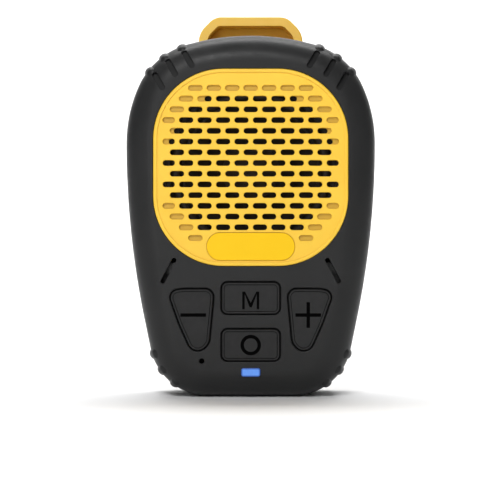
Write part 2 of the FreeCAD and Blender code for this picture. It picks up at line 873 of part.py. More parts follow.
def slot_mouth_cutter(x, z, length, face_y):
    """Tapered cutter for the chamfer round a slot."""
    wide = pill(x, z, length + 4 * slot_mouth, slot_height + 4 * slot_mouth)
    narrow = pill(x, z, length, slot_height)
    wide.translate(vec(0, face_y - slot_mouth, 0))
    narrow.translate(vec(0, face_y + slot_mouth, 0))
    return Part.makeLoft([wide, narrow], True, True)


def badge_wire(extra):
    return rounded_rectangle(0, grille_z - badge_drop, badge_width + 2 * extra,
                             badge_height + 2 * extra, badge_corner + extra)


def badge_plate():
    """Blank nameplate, seated in the grille's face."""
    face_y = front_y - grille_proud + grille_rim_height
    plate = prism(badge_wire(0), face_y - badge_proud, face_y + badge_thickness - badge_proud)
    return plate.makeFillet(0.1, edges_on_y(plate, face_y - badge_proud))


# ---------------------------------------------------------------- key panel
def key_cap(name):
    wire = key_wires()[name]
    top_y = front_y - key_proud
    flange_y = inside_front_y + key_flange_gap
    cap = prism(grown(wire, -key_gap), top_y, key_back_y)
    cap = cap.makeFillet(key_edge_round, edges_on_y(cap, top_y))
    flange = prism(grown(wire, key_flange), flange_y, key_back_y)
    boot = disc(-mic_x, mic_z, mic_radius + mic_boot_wall + 0.3, flange_y - 1, key_back_y + 1)
    cap = cap.fuse(flange.cut(boot))
    x, z = key_centres()[name]
    cap = cap.fuse(disc(x, z, stem_radius, key_back_y - 0.1, plunger_top_y))
    line = prism(grown(wire, -key_groove_inset), top_y - 1, top_y + glyph_depth).cut(
        prism(grown(wire, -key_groove_inset - key_groove_width), top_y - 2, top_y + 1))
    return cap.cut(glyph(name)).cut(line)


def keypad_mat():
    """Silicone sheet behind the keys, with a sealing rim between the housing and the board."""
    edge = body_wire(wall + board_gap + 0.4)
    limit = block(-body_width, body_width, front_y, board_front_y, 0, mat_top_z)
    sheet = prism(edge, mat_front_y, mat_front_y + mat_thickness)
    rim = prism(edge, inside_front_y + key_flange_gap, board_front_y - 0.05).cut(
        prism(body_wire(wall + board_gap + 0.4 + mat_rim), front_y, board_front_y + 1))
    mat = sheet.fuse(rim).common(body_block(wall + 0.1, front_y, rear_y)).common(limit)
    for x, z in four_ways(screw_points):
        mat = mat.cut(disc(x, z, boss_radius + 0.4, front_y, rear_y))
    for x, z in four_ways(post_points):
        mat = mat.cut(disc(x, z, post_radius + 0.3, front_y, rear_y))
    for x, z in key_centres().values():
        mat = mat.cut(disc(x, z, stem_radius + stem_gap, front_y, rear_y))
    mat = mat.cut(prism(lens_wire(lens_flange + 0.3), front_y, rear_y))
    mat = mat.cut(disc(-mic_x, mic_z, mic_radius + mic_boot_wall + 0.2, front_y, rear_y))
    seat = prism(grown(grille_wire(), seat_margin + 0.2), front_y, seat_back_y + 0.2)
    return largest(mat.cut(seat))


def largest(shape):
    return max(shape.Solids, key=lambda solid: solid.Volume)


def led_lens():
    lens = prism(lens_wire(0), front_y - 0.1, board_front_y - 1.1)
    lens = lens.makeFillet(0.2, edges_on_y(lens, front_y - 0.1))
    flange = prism(lens_wire(lens_flange), inside_front_y + 0.5, inside_front_y + 1.3)
    lens = lens.fuse(flange.common(body_block(wall + 0.1, front_y, rear_y)))
    return lens


def status_led():
    return block(-1.5, 1.5, board_front_y - 0.9, board_front_y, lens_z - 0.7, lens_z + 0.7)


def microphone():
    capsule = disc(-mic_x, mic_z, mic_radius, board_front_y - mic_height, board_front_y)
    capsule = capsule.makeFillet(0.3, edges_on_y(capsule, board_front_y - mic_height))
    return capsule.cut(disc(-mic_x, mic_z, 0.4, board_front_y - mic_height - 1,
                            board_front_y - mic_height + 0.5))


def microphone_boot():
    """Rubber sleeve that leads the sound hole to the microphone."""
    sleeve = tube(-mic_x, mic_z, mic_radius + mic_boot_wall, mic_hole_radius + 0.2,
                  inside_front_y + 0.05, board_front_y - 0.05)
    sleeve = sleeve.cut(disc(-mic_x, mic_z, mic_radius + 0.03, board_front_y - mic_height - 0.1,
                             board_front_y + 1))
    return sleeve.common(body_block(wall + 0.05, front_y, rear_y))


# ---------------------------------------------------------------- main board
def main_board():
    edge = body_wire(wall + board_gap)
    board = prism(edge, board_front_y, board_back_y)
    board = board.common(block(-body_width, body_width, front_y, rear_y, 0, board_top_z))
    for x, z in four_ways(screw_points):
        board = board.cut(disc(x, z, boss_radius + 0.6, front_y, rear_y))
    for x, z in four_ways(post_points):
        board = board.cut(disc(x, z, board_screw_radius + 0.3, front_y, rear_y))
    return board


def board_screws():
    screws = []
    for x, z in four_ways(post_points):
        shank = disc(x, z, board_screw_radius - pin_fit, board_front_y - 3.2, board_back_y)
        head = disc(x, z, 1.6, board_back_y, board_back_y + 1.1)
        head = head.makeFillet(0.3, edges_on_y(head, board_back_y + 1.1))
        screws.append(shank.fuse(head).cut(cross_recess(x, board_back_y + 1.1, z, 0.9)))
    return Part.makeCompound(screws)


def switch_bodies():
    """Four push switches on the board's front."""
    bodies = []
    half = switch_side / 2
    for x, z in key_centres().values():
        body = prism(rounded_rectangle(x, z, switch_side, switch_side, 0.5),
                     board_front_y - switch_height, board_front_y)
        bore = disc(x, z, plunger_radius + plunger_gap, board_front_y - switch_height - 1,
                    board_front_y - 0.3)
        body = body.cut(bore)
        for side in (-1, 1):
            leg = block(x + side * half - 0.5, x + side * half + 0.5, board_front_y - 0.3,
                        board_front_y, z - 1.6, z - 0.9)
            body = body.fuse(leg)
        bodies.append(body.removeSplitter())
    return Part.makeCompound(bodies)


def switch_plunger(name):
    x, z = key_centres()[name]
    return disc(x, z, plunger_radius, plunger_top_y, plunger_top_y + plunger_length)


def on_board(x, z, width, height, thickness, corner=0.2):
    """A flat component on the board's rear."""
    return prism(rounded_rectangle(x, z, width, height, corner), board_back_y, board_back_y + thickness)


def sound_chip():
    return on_board(-6.0, 15.5, 7.0, 7.0, 0.9)


def amplifier_chip():
    return on_board(7.5, 24.0, 5.0, 6.2, 1.5)


def chip_components():
    """Small resistors and capacitors round the chips."""
    small = []
    for k in range(6):
        small.append(on_board(-11.5 + 2.2 * k, 10.2, 1.0, 1.8, 0.5, 0.1))
        small.append(on_board(2.5 + 2.0 * k, 18.6, 1.0, 1.8, 0.5, 0.1))
    return Part.makeCompound(small)


def capacitors():
    """Electrolytic cans that feed the amplifier."""
    cans = []
    for x, z in ((14.6, 24.0), (14.6, 13.0)):
        can = disc(x, z, 2.5, board_back_y + 0.4, board_back_y + 5.4)
        can = can.makeFillet(0.4, edges_on_y(can, board_back_y + 5.4))
        cans.append(can.fuse(on_board(x, z, 5.3, 5.3, 0.5)))
    return Part.makeCompound(cans)


def inductor():
    return on_board(0.5, 25.5, 5.0, 5.0, 2.2, 0.8)


def lead_socket(x, z):
    """Two-way socket on the board's rear, open towards the top."""
    body = block(x - 3, x + 3, board_back_y, board_back_y + 3.4, z - 2.5, z + 2.5)
    mouth = block(x - 2.4, x + 2.4, board_back_y + 0.7, board_back_y + 2.9, z - 1.5, z + 3)
    return body.cut(mouth)


battery_socket_x, speaker_socket_x = 18.5, -3.0


def battery_socket():
    return lead_socket(battery_socket_x, board_top_z - 5.5)


def speaker_socket():
    return lead_socket(speaker_socket_x, board_top_z - 6.5)


def lead_plug(x, z):
    return block(x - 2.2, x + 2.2, board_back_y + 0.9, board_back_y + 2.7, z - 1.3, z + 3.2)


# ---------------------------------------------------------------- ports
def audio_jack():
    """Headset microphone socket: a body on the board with a round nose in the wall."""
    nose_x = -half_width_at(jack_z) + jack_inset
    length, depth, height = jack_body
    y = jack_axis_y()
    nose = Part.makeCylinder(jack_nose_radius, jack_nose_length, vec(nose_x, y, jack_z), vec(1, 0, 0))
    start = nose_x + jack_nose_length
    body = block(start, start + length, board_back_y, board_back_y + depth, jack_z - height / 2,
                 jack_z + height / 2)
    bore = Part.makeCylinder(jack_bore_radius, jack_bore_depth + 1, vec(nose_x - 1, y, jack_z),
                             vec(1, 0, 0))
    return nose.fuse(body).removeSplitter().cut(bore)


def usb_socket():
    """Charging socket: an open metal shell with its contact tongue."""
    mouth_x = -half_width_at(usb_z) + usb_inset
    outer = usb_opening(0, mouth_x, mouth_x + usb_depth)
    inner = usb_opening(-usb_wall, mouth_x - 1, mouth_x + usb_depth - 1.2)
    y = board_back_y + usb_height / 2
    half_y, half_z = usb_tongue_thickness / 2, usb_tongue_width / 2
    tongue = block(mouth_x + 0.8, mouth_x + usb_depth - 1, y - half_y, y + half_y,
                   usb_z - half_z, usb_z + half_z)
    return outer.cut(inner).fuse(tongue)


# ---------------------------------------------------------------- speaker
def speaker_planes():
    """Y of the flange front, flange back, top plate, magnet, yoke and yoke back."""
    flange = seat_back_y + gasket_thickness
    back = flange + flange_thickness
    plate = back + frame_depth - flange_thickness
    magnet = plate + plate_thickness
    yoke = magnet + magnet_thickness
    return flange, back, plate, magnet, yoke, yoke + yoke_thickness


def speaker_gasket():
    return tube(0, sound_z, speaker_radius, speaker_radius - gasket_width, seat_back_y,
                seat_back_y + gasket_thickness)


def speaker_frame():
    """Pressed steel frame with four windows."""
    flange, back, plate, _, _, _ = speaker_planes()
    t = frame_sheet
    rim = speaker_radius - 1.6
    land = rim - 0.9
    shelf = spider_radius + 1.0
    shelf_y = spider_y() + spider_thickness
    points = [
        (land, flange), (speaker_radius, flange), (speaker_radius, back), (rim, back),
        (rim - 0.6, back + 2.4), (shelf + t, shelf_y), (shelf + t, plate), (frame_bore, plate),
        (frame_bore, plate - t), (shelf, plate - t), (shelf, shelf_y + t),
        (spider_radius - 0.6, shelf_y + t), (spider_radius - 0.6, shelf_y),
        (shelf + 0.1, shelf_y), (rim - 0.6 - t, back + 2.1), (land, back - 0.1),
    ]
    frame = revolved(points)
    reach = speaker_radius
    for k in range(4):
        cutter = block(-5.5, 5.5, back + 2.6, shelf_y - 0.8, sound_z + shelf, sound_z + reach)
        cutter.rotate(vec(0, 0, sound_z), vec(0, 1, 0), 45 + 90 * k)
        frame = frame.cut(cutter)
    return frame


def spider_y():
    flange = speaker_planes()[0]
    return flange + cone_depth + 1.2


def cone_edge():
    return speaker_radius - surround_lip - 1.3 - surround_width


def surround():
    """Half-roll ring between the cone and the frame."""
    flange = speaker_planes()[0]
    outer, inner = speaker_radius - surround_lip, cone_edge() - 0.6
    middle = cone_edge() + surround_width / 2
    half = surround_width / 2
    y = flange - 0.02
    t = surround_thickness
    rise = surround_rise
    curve = Part.Arc(vec(middle - half, y - t, 0), vec(middle, y - t - rise, 0),
                     vec(middle + half, y - t, 0)).toShape()
    under = Part.Arc(vec(middle + half - t, y, 0), vec(middle, y - rise, 0),
                     vec(middle - half + t, y, 0)).toShape()
    edges = [
        Part.makeLine(vec(inner, y, 0), vec(inner, y - t, 0)),
        Part.makeLine(vec(inner, y - t, 0), vec(middle - half, y - t, 0)),
        curve,
        Part.makeLine(vec(middle + half, y - t, 0), vec(outer, y - t, 0)),
        Part.makeLine(vec(outer, y - t, 0), vec(outer, y, 0)),
        Part.makeLine(vec(outer, y, 0), vec(middle + half - t, y, 0)),
        under,
        Part.makeLine(vec(middle - half + t, y, 0), vec(inner, y, 0)),
    ]
    face = Part.Face(Part.Wire(edges))
    face.translate(vec(0, 0, sound_z))
    return face.revolve(vec(0, 0, sound_z), vec(0, 1, 0), 360)


def speaker_cone():
    """Paper cone: a shallow curve from the surround down to the voice coil."""
    flange = speaker_planes()[0]
    y0, y1 = flange + 0.05, flange + cone_depth
    outer, inner = cone_edge(), coil_radius + 0.25
    t = cone_thickness
    middle = vec((outer + inner) / 2 - 1.0, (y0 + y1) / 2 + 0.7, 0)
    top = Part.Arc(vec(outer, y0, 0), middle, vec(inner, y1, 0)).toShape()
    under = Part.Arc(vec(inner, y1 + t, 0), middle + vec(0, t, 0), vec(outer, y0 + t, 0)).toShape()
    edges = [top, Part.makeLine(vec(inner, y1, 0), vec(inner, y1 + t, 0)), under,
             Part.makeLine(vec(outer, y0 + t, 0), vec(outer, y0, 0))]
    face = Part.Face(Part.Wire(edges))
    face.translate(vec(0, 0, sound_z))
    return face.revolve(vec(0, 0, sound_z), vec(0, 1, 0), 360)


def dust_cap():
    """Shallow dome over the voice coil, seated on the cone."""
    rim_y = cone_front_y(dust_cap_radius)
    t = 0.35
    r, rise = dust_cap_radius, dust_cap_rise
    ball = (r * r + rise * rise) / (2 * rise)
    centre = vec(0, rim_y - rise + ball, sound_z)
    outer = Part.makeSphere(ball, centre)
    inner = Part.makeSphere(ball - t, centre)
    keep = disc(0, sound_z, r + 1, rim_y - rise - 1, rim_y - 0.03)
    return outer.cut(inner).common(keep)


def cone_front_y(radius):
    """Front surface of the cone at that radius."""
    flange = speaker_planes()[0]
    y0, y1 = flange + 0.05, flange + cone_depth
    outer, inner = cone_edge(), coil_radius + 0.25
    arc = Part.Arc(vec(outer, y0, 0), vec((outer + inner) / 2 - 1.0, (y0 + y1) / 2 + 0.7, 0),
                   vec(inner, y1, 0)).toShape()
    line = Part.makeLine(vec(radius, y0 - 5, 0), vec(radius, y1 + 5, 0))
    return arc.distToShape(line)[1][0][0].y


def voice_coil():
    """Former with its winding, in the magnet's gap."""
    flange, _, plate, _, _, _ = speaker_planes()
    start = flange + cone_depth - 0.6
    former = tube(0, sound_z, coil_radius + 0.2, coil_radius, start, start + former_length)
    winding = tube(0, sound_z, coil_radius + coil_thickness, coil_radius + 0.1, plate - 0.8,
                   plate + plate_thickness + 0.8)
    return former.fuse(winding)


def spider():
    """Corrugated disc that centres the voice coil."""
    y = spider_y()
    inner, outer = coil_radius + 0.25, spider_radius
    count = 10
    front = []
    for k in range(count + 1):
        r = inner + (outer - inner) * k / count
        front.append((r, y - (spider_wave if k % 2 else 0.0)))
    back = [(r, v + spider_thickness) for r, v in reversed(front)]
    return revolved(front + back)


def top_plate():
    _, _, plate, magnet, _, _ = speaker_planes()
    return tube(0, sound_z, plate_radius, coil_radius + coil_thickness + coil_gap, plate, magnet)


def magnet_ring():
    _, _, _, magnet, yoke, _ = speaker_planes()
    ring = tube(0, sound_z, magnet_radius, magnet_bore, magnet, yoke)
    return ring.makeChamfer(0.4, [e for e in ring.Edges if e.BoundBox.XLength > 2 * magnet_radius - 1
                                  and e.BoundBox.YLength < 0.01])


def yoke():
    """Rear plate with the centre pole."""
    _, _, plate, _, yoke_y, back = speaker_planes()
    pole = disc(0, sound_z, coil_radius - coil_gap, plate, yoke_y + 0.5)
    return disc(0, sound_z, plate_radius, yoke_y, back).fuse(pole).removeSplitter()


def speaker_terminals():
    """Tag board on the frame's lower side, with two solder tags."""
    y = spider_y()
    z = sound_z - spider_radius - 1.0 - frame_sheet
    tags = []
    for x in (-2.6, 2.6):
        tag = block(x - 1, x + 1, y + 1.0, y + 1.5, z - 3.6, z + 0.2)
        tags.append(tag.cut(disc(x, z - 2.4, 0.5, y, y + 3)))
    board = block(-5, 5, y + 1.5, y + 2.5, z - 1.8, z + 0.1)
    frame = revolved([(0, y - 9), (spider_radius + 1.0 + frame_sheet, y - 9),
                      (spider_radius + 1.0 + frame_sheet, y + 9), (0, y + 9)])
    return Part.makeCompound([part.cut(frame) for part in [board] + tags])


def speaker_screws():
    _, back, _, _, _, _ = speaker_planes()
    screws = []
    for x, z in speaker_bosses():
        shank = disc(x, z, board_screw_radius - pin_fit, inside_front_y + 0.4, back)
        head = disc(x, z, speaker_screw_head, back, back + speaker_screw_head_height)
        head = head.makeFillet(0.3, edges_on_y(head, back + speaker_screw_head_height))
        recess = cross_recess(x, back + speaker_screw_head_height, z, 1.0)
        screws.append(shank.fuse(head).cut(recess))
    return Part.makeCompound(screws)


# ---------------------------------------------------------------- battery and leads
def battery_planes():
    back = inside_rear_y - foam_thickness
    return back - battery_thickness, back


def battery_cell():
    front, back = battery_planes()
    middle = battery_z + battery_height / 2
    cell = prism(rounded_rectangle(0, middle, battery_width, battery_height, battery_round), front, back)
    return cell.makeFillet(battery_round * 0.7, edges_on_y(cell, front) + edges_on_y(cell, back))


def battery_pad():
    _, back = battery_planes()
    middle = battery_z + battery_height / 2
    return prism(rounded_rectangle(0, middle, battery_width - foam_margin, battery_height - foam_margin,
                                   battery_round), back, inside_rear_y)


def battery_lead(side):
    """From the top of the cell, over and down into its plug."""
    front, back = battery_planes()
    x, end_x = battery_socket_x - 2.5 + side, battery_socket_x + side
    top = battery_z + battery_height
    y, end_y = (front + back) / 2, board_back_y + 1.8
    plug_top = board_top_z - 5.5 + 3.2
    return wire_tube([
        vec(x, y, top),
        vec(x, y, top + 2.6),
        vec(x, y - 4.0, top + 3.8),
        vec((x + end_x) / 2, end_y + 3.4, top + 0.6),
        vec(end_x, end_y, plug_top + 3.6),
        vec(end_x, end_y, plug_top),
    ], lead_radius)


def speaker_lead(side):
    """From a tag on the speaker down into its plug."""
    y, end_y = spider_y() + 1.25, board_back_y + 1.8
    z = sound_z - spider_radius - 1.0 - frame_sheet - 3.6
    end_x = speaker_socket_x + side * 1.1
    plug_top = board_top_z - 6.5 + 3.2
    return wire_tube([
        vec(side * 2.6, y, z),
        vec(side * 2.6, y, z - 2.6),
        vec(end_x, end_y, plug_top + 2.6),
        vec(end_x, end_y, plug_top),
    ], lead_radius)


# ---------------------------------------------------------------- belt clip
def bracket_screws():
    return [(sx * bracket_screw_x, clip_pivot_z + sz * bracket_screw_z)
            for sx in (-1, 1) for sz in (-1, 1)]


def ear_inner():
    return clip_half_width - clip_wall - ear_side_gap - ear_thickness


def clip_bracket():
    """Base plate screwed to the rear shell, with two ears for the pin."""
    back = rear_y + bracket_thickness
    half = ear_inner() + ear_thickness
    plate = prism(rounded_rectangle(0, clip_pivot_z, 2 * half, bracket_height, bracket_corner),
                  rear_y, back)
    plate = plate.makeFillet(0.4, edges_on_y(plate, back))
    ears = []
    for side in (-1, 1):
        x0, x1 = sorted((side * ear_inner(), side * half))
        ear = block(x0, x1, back - 0.5, clip_y, clip_pivot_z - ear_radius, clip_pivot_z + ear_radius)
        ear = ear.fuse(Part.makeCylinder(ear_radius, ear_thickness, vec(x0, clip_y, clip_pivot_z),
                                         vec(1, 0, 0)))
        ears.append(ear)
    bracket = fused([plate] + ears)
    hole = Part.makeCylinder(pin_radius + pin_fit, 4 * half, vec(-2 * half, clip_y, clip_pivot_z),
                             vec(1, 0, 0))
    bracket = bracket.cut(hole)
    for x, z in bracket_screws():
        bracket = bracket.cut(disc(x, z, bracket_screw_radius + 0.15, rear_y - 1, back + 1))
        sink = Part.makeCone(bracket_screw_radius + 0.15, bracket_screw_head + 0.1, 1.0,
                             vec(x, back - 1.0, z), vec(0, 1, 0))
        bracket = bracket.cut(sink)
    return bracket


def clip_screws():
    back = rear_y + bracket_thickness
    screws = []
    for x, z in bracket_screws():
        shank = disc(x, z, bracket_screw_radius - pin_fit, back - bracket_screw_length, back - 0.5)
        head = Part.makeCone(bracket_screw_radius, bracket_screw_head, 1.0, vec(x, back - 1.0, z),
                             vec(0, 1, 0))
        screws.append(shank.fuse(head).cut(cross_recess(x, back, z, 1.1)))
    return Part.makeCompound(screws)


def clip_plan(inset, top_inset, low_z):
    """The lever's outline seen from behind, moved inwards. Its upper corners are cut off at a slope."""
    half, tip = clip_half_width - inset, clip_tip_half_width - inset
    waist = clip_pivot_z - clip_lug_radius - 8
    slope = atan2(clip_top_z - clip_shoulder_z, clip_half_width - clip_top_half_width)
    shoulder = clip_shoulder_z - inset * tan((pi / 2 - slope) / 2)
    top = clip_top_z - top_inset
    top_half = half - (top - shoulder) / tan(slope)
    return rounded_polygon([
        (-tip, low_z, 3.0), (-half, waist, 12.0), (-half, shoulder, clip_shoulder_round - inset),
        (-top_half, top, clip_top_corner - inset), (top_half, top, clip_top_corner - inset),
        (half, shoulder, clip_shoulder_round - inset), (half, waist, 12.0), (tip, low_z, 3.0),
    ])


def clip_lever():
    """Sprung lever: a thumb tray above the pivot, and a ribbed arm with a jaw below it."""
    inner = rear_y + clip_plate_out
    outer = inner + clip_plate
    bend_z = clip_pivot_z + 3
    rim_low, rim_high = rear_y + clip_rim_front_low, rear_y + clip_rim_front_high
    arm_front = inner - clip_arm_rim
    jaw_y = rear_y + clip_jaw_gap
    lug_z = clip_pivot_z - clip_lug_radius
    side_view = [
        (rim_high, clip_top_z, 0), (outer + clip_flare, clip_top_z, 0),
        (outer, bend_z, clip_bend_radius), (outer, clip_tip_z, 0), (jaw_y, clip_tip_z, 0),
        (jaw_y, clip_tip_z + clip_jaw_height, 0.5),
        (arm_front, clip_tip_z + clip_jaw_height + 4.0, 1.5), (arm_front, lug_z - 2, 2.0),
        (rim_low, lug_z, 1.5), (rim_low, clip_pivot_z + clip_lug_radius, clip_bend_radius / 2),
    ]
    lever = side_prism(side_view, clip_half_width)
    lever = lever.common(prism(clip_plan(0, 0, clip_tip_z), rear_y - 5, outer + 20))
    lever = lever.makeFillet(clip_edge_round, back_edges(lever))
    lever = lever.makeFillet(clip_rim_round, rim_edges(lever))
    hollow_view = [
        (rear_y - 5, clip_top_z, 0), (inner + clip_flare * 0.92, clip_top_z, 0),
        (inner, bend_z - 1, clip_bend_radius), (inner, clip_tip_z + clip_jaw_height + 3.0, 1.0),
        (rear_y - 5, clip_tip_z + clip_jaw_height + 3.0, 0),
    ]
    hollow = side_prism(hollow_view, clip_half_width)
    hollow = hollow.common(prism(clip_plan(clip_wall, clip_rim, clip_tip_z + clip_jaw_height),
                                 rear_y - 6, outer + 20))
    lever = lever.cut(hollow)
    for side in (-1, 1):
        x0 = -clip_half_width if side < 0 else clip_half_width - clip_wall
        lever = lever.fuse(Part.makeCylinder(clip_lug_radius, clip_wall,
                                             vec(x0, clip_y, clip_pivot_z), vec(1, 0, 0)))
    lever = lever.removeSplitter()
    hole = Part.makeCylinder(pin_radius + pin_running, 4 * clip_half_width,
                             vec(-2 * clip_half_width, clip_y, clip_pivot_z), vec(1, 0, 0))
    lever = lever.cut(hole)
    return lever.cut(disc(0, lanyard_z, lanyard_radius, rear_y, outer + 20))


def lever_back_y(z):
    """Y of the lever's back face at that height."""
    outer = rear_y + clip_plate_out + clip_plate
    bend_z = clip_pivot_z + 3
    return outer + clip_flare * max(z - bend_z, 0) / (clip_top_z - bend_z)


def middle_of(edge):
    return edge.valueAt((edge.FirstParameter + edge.LastParameter) / 2)


def back_edges(lever):
    """The whole loop round the lever's back face."""
    found = []
    for edge in lever.Edges:
        middle = middle_of(edge)
        crosses = edge.BoundBox.XLength > 2 * clip_tip_half_width and clip_tip_z + 1 < middle.z < clip_top_z - 1
        if middle.y > lever_back_y(middle.z) - 0.4 and not crosses:
            found.append(edge)
    return found


def rim_edges(lever):
    """The front edges of the thumb tray's rim, round its top and its sloping corners."""
    found = []
    for edge in lever.Edges:
        box = edge.BoundBox
        if box.ZMin > clip_shoulder_z - 8 and middle_of(edge).y < rear_y + clip_rim_front_high + 0.6:
            if box.ZMax < clip_top_z + 1 and box.YLength < 2:
                found.append(edge)
    return found


def clip_pin():
    half = clip_half_width + 0.15
    pin = Part.makeCylinder(pin_radius, 2 * half, vec(-half, clip_y, clip_pivot_z), vec(1, 0, 0))
    for x in (-half - pin_head_height, half):
        head = Part.makeCylinder(pin_head_radius, pin_head_height, vec(x, clip_y, clip_pivot_z),
                                 vec(1, 0, 0))
        pin = pin.fuse(head)
    return pin


def clip_spring():
    """Torsion spring on the pin: one leg on the bracket, one arm on the lever."""
    start = spring_leg_lean - 90
    sweep = 360 * spring_turns + 90 - spring_arm_lean - start
    coil_length = spring_pitch * sweep / 360
    helix = Part.makeHelix(spring_pitch, coil_length, spring_radius)
    section = Part.Wire(Part.makeCircle(spring_wire, vec(spring_radius, 0, 0), vec(0, 1, 0)))
    coil = Part.Wire(helix).makePipeShell([section], True, True)
    end = radians(sweep)
    tip = vec(spring_radius * cos(end), spring_radius * sin(end), coil_length)
    arm = Part.makeCylinder(spring_wire, spring_arm, tip, vec(-sin(end), cos(end), 0))
    leg = Part.makeCylinder(spring_wire, spring_leg, vec(spring_radius, 0, 0), vec(0, -1, 0))
    spring = coil.fuse(arm).fuse(leg)
    spring.translate(vec(0, 0, -coil_length / 2))
    spring.rotate(vec(0, 0, 0), vec(0, 1, 0), 90)
    spring.rotate(vec(0, 0, 0), vec(1, 0, 0), start)
    spring.translate(vec(0, clip_y, clip_pivot_z))
    return spring


PARTS = {
    "front_shell": front_shell,
    "rear_shell": rear_shell,
    "speaker_grille": speaker_grille,
    "badge_plate": badge_plate,
    "key_mode": lambda: key_cap("mode"),
    "key_power": lambda: key_cap("power"),
    "key_minus": lambda: key_cap("minus"),
    "key_plus": lambda: key_cap("plus"),
    "keypad_mat": keypad_mat,
    "led_lens": led_lens,
    "status_led": status_led,
    "microphone": microphone,
    "microphone_boot": microphone_boot,
    "main_board": main_board,
    "board_screws": board_screws,
    "switch_bodies": switch_bodies,
    "plunger_mode": lambda: switch_plunger("mode"),
    "plunger_power": lambda: switch_plunger("power"),
    "plunger_minus": lambda: switch_plunger("minus"),
    "plunger_plus": lambda: switch_plunger("plus"),
    "sound_chip": sound_chip,
    "amplifier_chip": amplifier_chip,
    "chip_components": chip_components,
    "capacitors": capacitors,
    "inductor": inductor,
    "battery_socket": battery_socket,
    "speaker_socket": speaker_socket,
    "battery_plug": lambda: lead_plug(battery_socket_x, board_top_z - 5.5),
    "speaker_plug": lambda: lead_plug(speaker_socket_x, board_top_z - 6.5),
    "audio_jack": audio_jack,
    "usb_socket": usb_socket,
    "speaker_gasket": speaker_gasket,
    "speaker_frame": speaker_frame,
    "surround": surround,
    "speaker_cone": speaker_cone,
    "dust_cap": dust_cap,
    "voice_coil": voice_coil,
    "spider": spider,
    "top_plate": top_plate,
    "magnet_ring": magnet_ring,
    "yoke": yoke,
    "speaker_terminals": speaker_terminals,
    "speaker_screws": speaker_screws,
    "battery_cell": battery_cell,
    "battery_pad": battery_pad,
    "battery_lead_red": lambda: battery_lead(1),
    "battery_lead_black": lambda: battery_lead(-1),
    "speaker_lead_red": lambda: speaker_lead(1),
    "speaker_lead_black": lambda: speaker_lead(-1),
    "housing_screws": housing_screws,
    "clip_bracket": clip_bracket,
    "clip_screws": clip_screws,
    "clip_lever": clip_lever,
    "clip_pin": clip_pin,
    "clip_spring": clip_spring,
}


def main():
    os.makedirs("parts", exist_ok=True)
    for name, build in PARTS.items():
        shape = build()
        for solid in shape.Solids:
            if not solid.isValid() or solid.Volume <= 0:
                print("bad solid in", name)
        if not shape.Solids:
            print("no solid in", name)
        shape.exportStep(f"parts/{name}.step")


main()
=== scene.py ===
import logging
import math
from dataclasses import dataclass, field
from enum import Enum
from typing import Iterable, Protocol, Sequence

import bmesh
import bpy
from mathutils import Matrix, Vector


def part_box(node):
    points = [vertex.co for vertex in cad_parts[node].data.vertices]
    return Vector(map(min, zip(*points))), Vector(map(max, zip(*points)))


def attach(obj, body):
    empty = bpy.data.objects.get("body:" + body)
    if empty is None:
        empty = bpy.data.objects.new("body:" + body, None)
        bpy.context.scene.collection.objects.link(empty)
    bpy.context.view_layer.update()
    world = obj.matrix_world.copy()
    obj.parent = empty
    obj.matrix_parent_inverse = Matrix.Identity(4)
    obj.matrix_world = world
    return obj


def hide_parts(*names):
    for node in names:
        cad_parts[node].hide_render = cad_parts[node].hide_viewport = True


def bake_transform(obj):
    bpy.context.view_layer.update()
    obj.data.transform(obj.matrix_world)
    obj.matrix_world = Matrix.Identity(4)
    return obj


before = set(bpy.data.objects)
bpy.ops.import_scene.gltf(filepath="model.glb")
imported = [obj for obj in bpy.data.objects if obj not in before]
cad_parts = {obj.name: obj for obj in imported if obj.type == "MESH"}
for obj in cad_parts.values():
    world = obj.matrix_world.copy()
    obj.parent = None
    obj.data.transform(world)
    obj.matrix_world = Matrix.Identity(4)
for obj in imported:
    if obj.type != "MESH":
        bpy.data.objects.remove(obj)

LOG = logging.getLogger("voice_amplifier")
MM = 0.001
GRAIN_SQUEEZE = 0.06            # a brushed grain's texture along its own direction
WAVE_RADIANS = 20.0             # the wave texture's turn for each unit of length
BEVEL_SAMPLES = 4
Colour = tuple[float, float, float, float]


class Axis(Enum):
    """Directions that a grain or a brushing may run along."""

    X = "X"
    Y = "Y"
    ALL = "XYZ"


class Sign(Enum):
    """Marks moulded into the key tops."""

    LETTER_M = "mode"
    RING = "power"
    MINUS = "minus"
    PLUS = "plus"


# ---------------------------------------------------------------- material recipe


